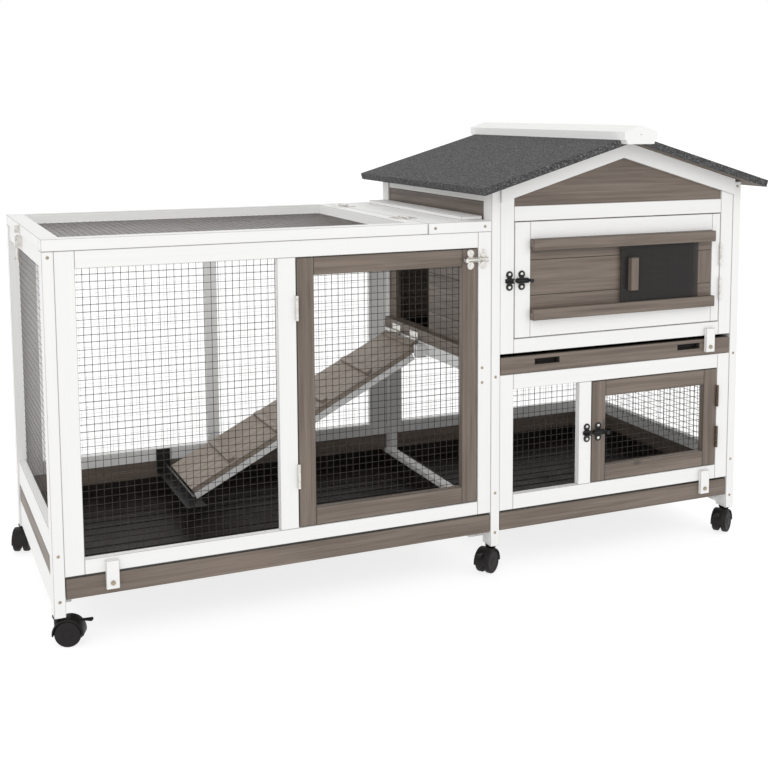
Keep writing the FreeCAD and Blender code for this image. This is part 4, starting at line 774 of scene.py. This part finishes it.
# %% Screw heads
heads = []
for points, _ in solids_of("frame_screws"):
    middle = (points.max(axis=0) + points.min(axis=0)) / 2
    heads.append(screw_head(np.array([middle[0], points[:, 1].max(), middle[2]]), FRONT))
screws = new_piece("frame_screw_heads", *joined(heads), "frame", BRASSED, smooth=True)
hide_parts("frame_screws")
print("screws:", len(heads))

# %% [markdown]
# ## Casters
# A twin-wheel caster is a hood over two discs, on a stem that swivels. The discs are profiles spun about
# the axle, with a rounded tread and a sunk face. The hood is a section with rounded shoulders, carried
# round the axle over half a turn. The brake lever is a paddle whose sections are superellipses.
# Everything is worked out in the caster's own axes, which come from the places of its two joints.

# %% Profiles and sections of a caster, in millimetres from its hub or stem
HOOD_SECTION = np.array([(23.6, -16), (25, -16), (26, -15.2), (26.5, -13.6), (26.5, 13.6), (26, 15.2),
                         (25, 16), (23.6, 16)]) * MM
WEB_SECTION = np.array([(3, -3.4), (23.8, -3.4), (23.8, 3.4), (3, 3.4)]) * MM
DISC_PROFILE = np.array([(20.5, 4.1), (22, 4.8), (22.5, 6), (22.5, 12.6), (22, 14.1), (20.8, 15.1),
                         (19.4, 15.4), (18.6, 14.7), (8.4, 14.2), (7.6, 15), (5, 15.2)]) * MM
AXLE_PROFILE = np.array([(2.6, -15), (2.6, 15)]) * MM
NECK_PROFILE = np.array([(7.6, 28), (8.6, 31), (8.8, 42), (9.2, 46), (11, 48.5), (11.4, 51.4), (3.4, 51.6),
                         (3.4, 60)]) * MM
HOOD_ARC = (-6, 186)
WEB_ARC = (-25, 205)
ARC_STEPS = 40
DISC_SIDES = 48
AXLE_SIDES = 16
LEVER_RINGS = 14
LEVER_SIDES = 24
BOXY = 0.55
TAPER_SPAN = 2.9
TAPER_START = 0.16
TAPER_STEEPNESS = 4
TAPER_LEAST = 0.3
LEVER_NECK = 0.62
SWELL_RATE = 1.7
SWELL_START = 0.5
FLATTEST = 0.5
UP = np.array([0, 0, 1])


# %% Caster shapes
def carried_round(section, arc, axes, hub):
    """A closed section of (radius, width) pairs carried round the hub, in the plane of axes 0 and 2."""
    turn = np.radians(np.linspace(*arc, ARC_STEPS))[:, None, None]
    ring = np.cos(turn) * axes[0] + np.sin(turn) * axes[2]
    points = hub + section[None, :, :1] * ring + section[None, :, 1:] * axes[1]
    return points.reshape(-1, 3), tube_faces(ARC_STEPS, len(section))


def boxy(wave):
    """A cosine or sine whose power below one squares the ellipse that it draws."""
    return np.sign(wave) * np.abs(wave) ** BOXY


def lever_shape(points, axes):
    """A paddle that fills a CAD lever: superellipse sections, whose width swells towards the outer end."""
    local = points @ axes.T
    low, high = local.min(axis=0), local.max(axis=0)
    middle = (low + high) / 2
    half = (high - low) / 2
    turn = circle(LEVER_SIDES)
    along = np.linspace(0, 1, LEVER_RINGS)[:, None]
    taper = np.clip(np.sin(along * TAPER_SPAN + TAPER_START) * TAPER_STEEPNESS, TAPER_LEAST, 1)
    spread = np.clip(along * SWELL_RATE - SWELL_START, 0, 1)
    swell = (LEVER_NECK + (1 - LEVER_NECK) * spread) * taper
    across = boxy(np.cos(turn)) * half[1] * swell
    rise = boxy(np.sin(turn)) * half[2] * np.clip(swell, FLATTEST, 1)
    lengths = np.broadcast_to(low[0] + along * (high[0] - low[0]), across.shape)
    grid = np.stack([lengths, middle[1] + across, middle[2] + rise], axis=2).reshape(-1, 3)
    return grid @ axes, tube_faces(LEVER_RINGS, LEVER_SIDES)


# %% Six casters
joint_of = {joint["name"]: joint for joint in frame["record"]["behaviour"]["joints"]}
PLACES = ("front_left", "front_middle", "front_right", "back_left", "back_middle", "back_right")
for place in PLACES:
    caster = f"caster_{place}"
    swivel = np.array(joint_of[f"{caster}_swivel_turn"]["pos_m"])
    hub = np.array(joint_of[f"{caster}_axle_turn"]["pos_m"])
    trail = (hub - swivel) * (1, 1, 0)
    trail /= np.linalg.norm(trail)
    axes = np.stack([trail, np.cross(UP, trail), UP])
    foot = swivel * (1, 1, 0)
    hood = [carried_round(HOOD_SECTION, HOOD_ARC, axes, hub),
            carried_round(WEB_SECTION, WEB_ARC, axes, hub),
            turned_about(NECK_PROFILE, foot, UP)]
    cover = new_piece(f"{caster}_cover", *joined(hood), f"{caster}_swivel", BLACK, smooth=True)
    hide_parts(f"{caster}_hood")
    discs = [turned_about(DISC_PROFILE, hub, axes[1] * way, DISC_SIDES) for way in (1, -1)]
    discs.append(turned_about(AXLE_PROFILE, hub, axes[1], AXLE_SIDES))
    twins = new_piece(f"{caster}_discs", *joined(discs), f"{caster}_wheels", TREAD, smooth=True)
    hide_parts(f"{caster}_wheels")
    if f"{caster}_brake" in nodes:
        corners = np.concatenate([corner for corner, _ in solids_of(f"{caster}_brake")])
        lever_parts = joined([lever_shape(corners, axes)])
        lever = new_piece(f"{caster}_lever", *lever_parts, f"{caster}_brake", BLACK, smooth=True)
        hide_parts(f"{caster}_brake")
print("casters:", len(PLACES))

# %% [markdown]
# ## Studio
# A white floor that gives off a little light of its own, a bright even sky, and two soft lights, the
# stronger from the upper left. The camera stands left of the middle at the height of the roof, with a
# long lens.

# %% Floor and sky
HALF_FLOOR = 30.0
corners = [(-HALF_FLOOR, -HALF_FLOOR, 0), (HALF_FLOOR, -HALF_FLOOR, 0), (HALF_FLOOR, HALF_FLOOR, 0),
           (-HALF_FLOOR, HALF_FLOOR, 0)]
floor_mesh = bpy.data.meshes.new("floor")
floor_mesh.from_pydata(corners, [], [(0, 1, 2, 3)])
paper = Finish("paper")
floor_mesh.materials.append(paper.done((0.25, 0.25, 0.25), 0.9, Emission_Color=(1, 1, 1, 1),
                                       Emission_Strength=0.8))
floor = bpy.data.objects.new("floor", floor_mesh)
bpy.context.scene.collection.objects.link(floor)

world = bpy.data.worlds.new("studio")
world.use_nodes = True
sky = world.node_tree.nodes["Background"]
sky.inputs["Color"].default_value = (1, 1, 1, 1)
sky.inputs["Strength"].default_value = 1.0
bpy.context.scene.world = world


# %% Lights
def soft_light(name, place, target, wide, power):
    """A square area light that faces a target."""
    lamp = bpy.data.lights.new(name, "AREA")
    lamp.shape = "SQUARE"
    lamp.size = wide
    lamp.energy = power
    item = bpy.data.objects.new(name, lamp)
    item.location = place
    away = np.array(place) - np.array(target)
    tilt = math.atan2(math.hypot(away[0], away[1]), away[2])
    item.rotation_euler = (tilt, 0, math.atan2(away[1], away[0]) + math.pi / 2)
    bpy.context.scene.collection.objects.link(item)


soft_light("key", place=(-2.2, -2.6, 3.0), target=(0, 0, 0.4), wide=2.0, power=26)
soft_light("fill", place=(2.8, -2.4, 1.6), target=(0.3, 0, 0.4), wide=2.0, power=9)

# %% Camera
EYE = (-0.9539, -2.356, 0.898)
YAW = 25.10
PITCH_DOWN = 6.45
LENS = 58.08
FILM = 36
SHIFT = (-0.086, -0.174)
camera = bpy.data.cameras.new("camera")
camera.lens = LENS
camera.sensor_width = FILM
camera.shift_x, camera.shift_y = SHIFT
camera.clip_end = 100
viewer = bpy.data.objects.new("camera", camera)
viewer.location = EYE
viewer.rotation_euler = (math.radians(90 - PITCH_DOWN), 0, math.radians(-YAW))
bpy.context.scene.collection.objects.link(viewer)
bpy.context.scene.camera = viewer
bpy.context.scene.view_settings.view_transform = "Standard"
print("camera lens:", LENS)
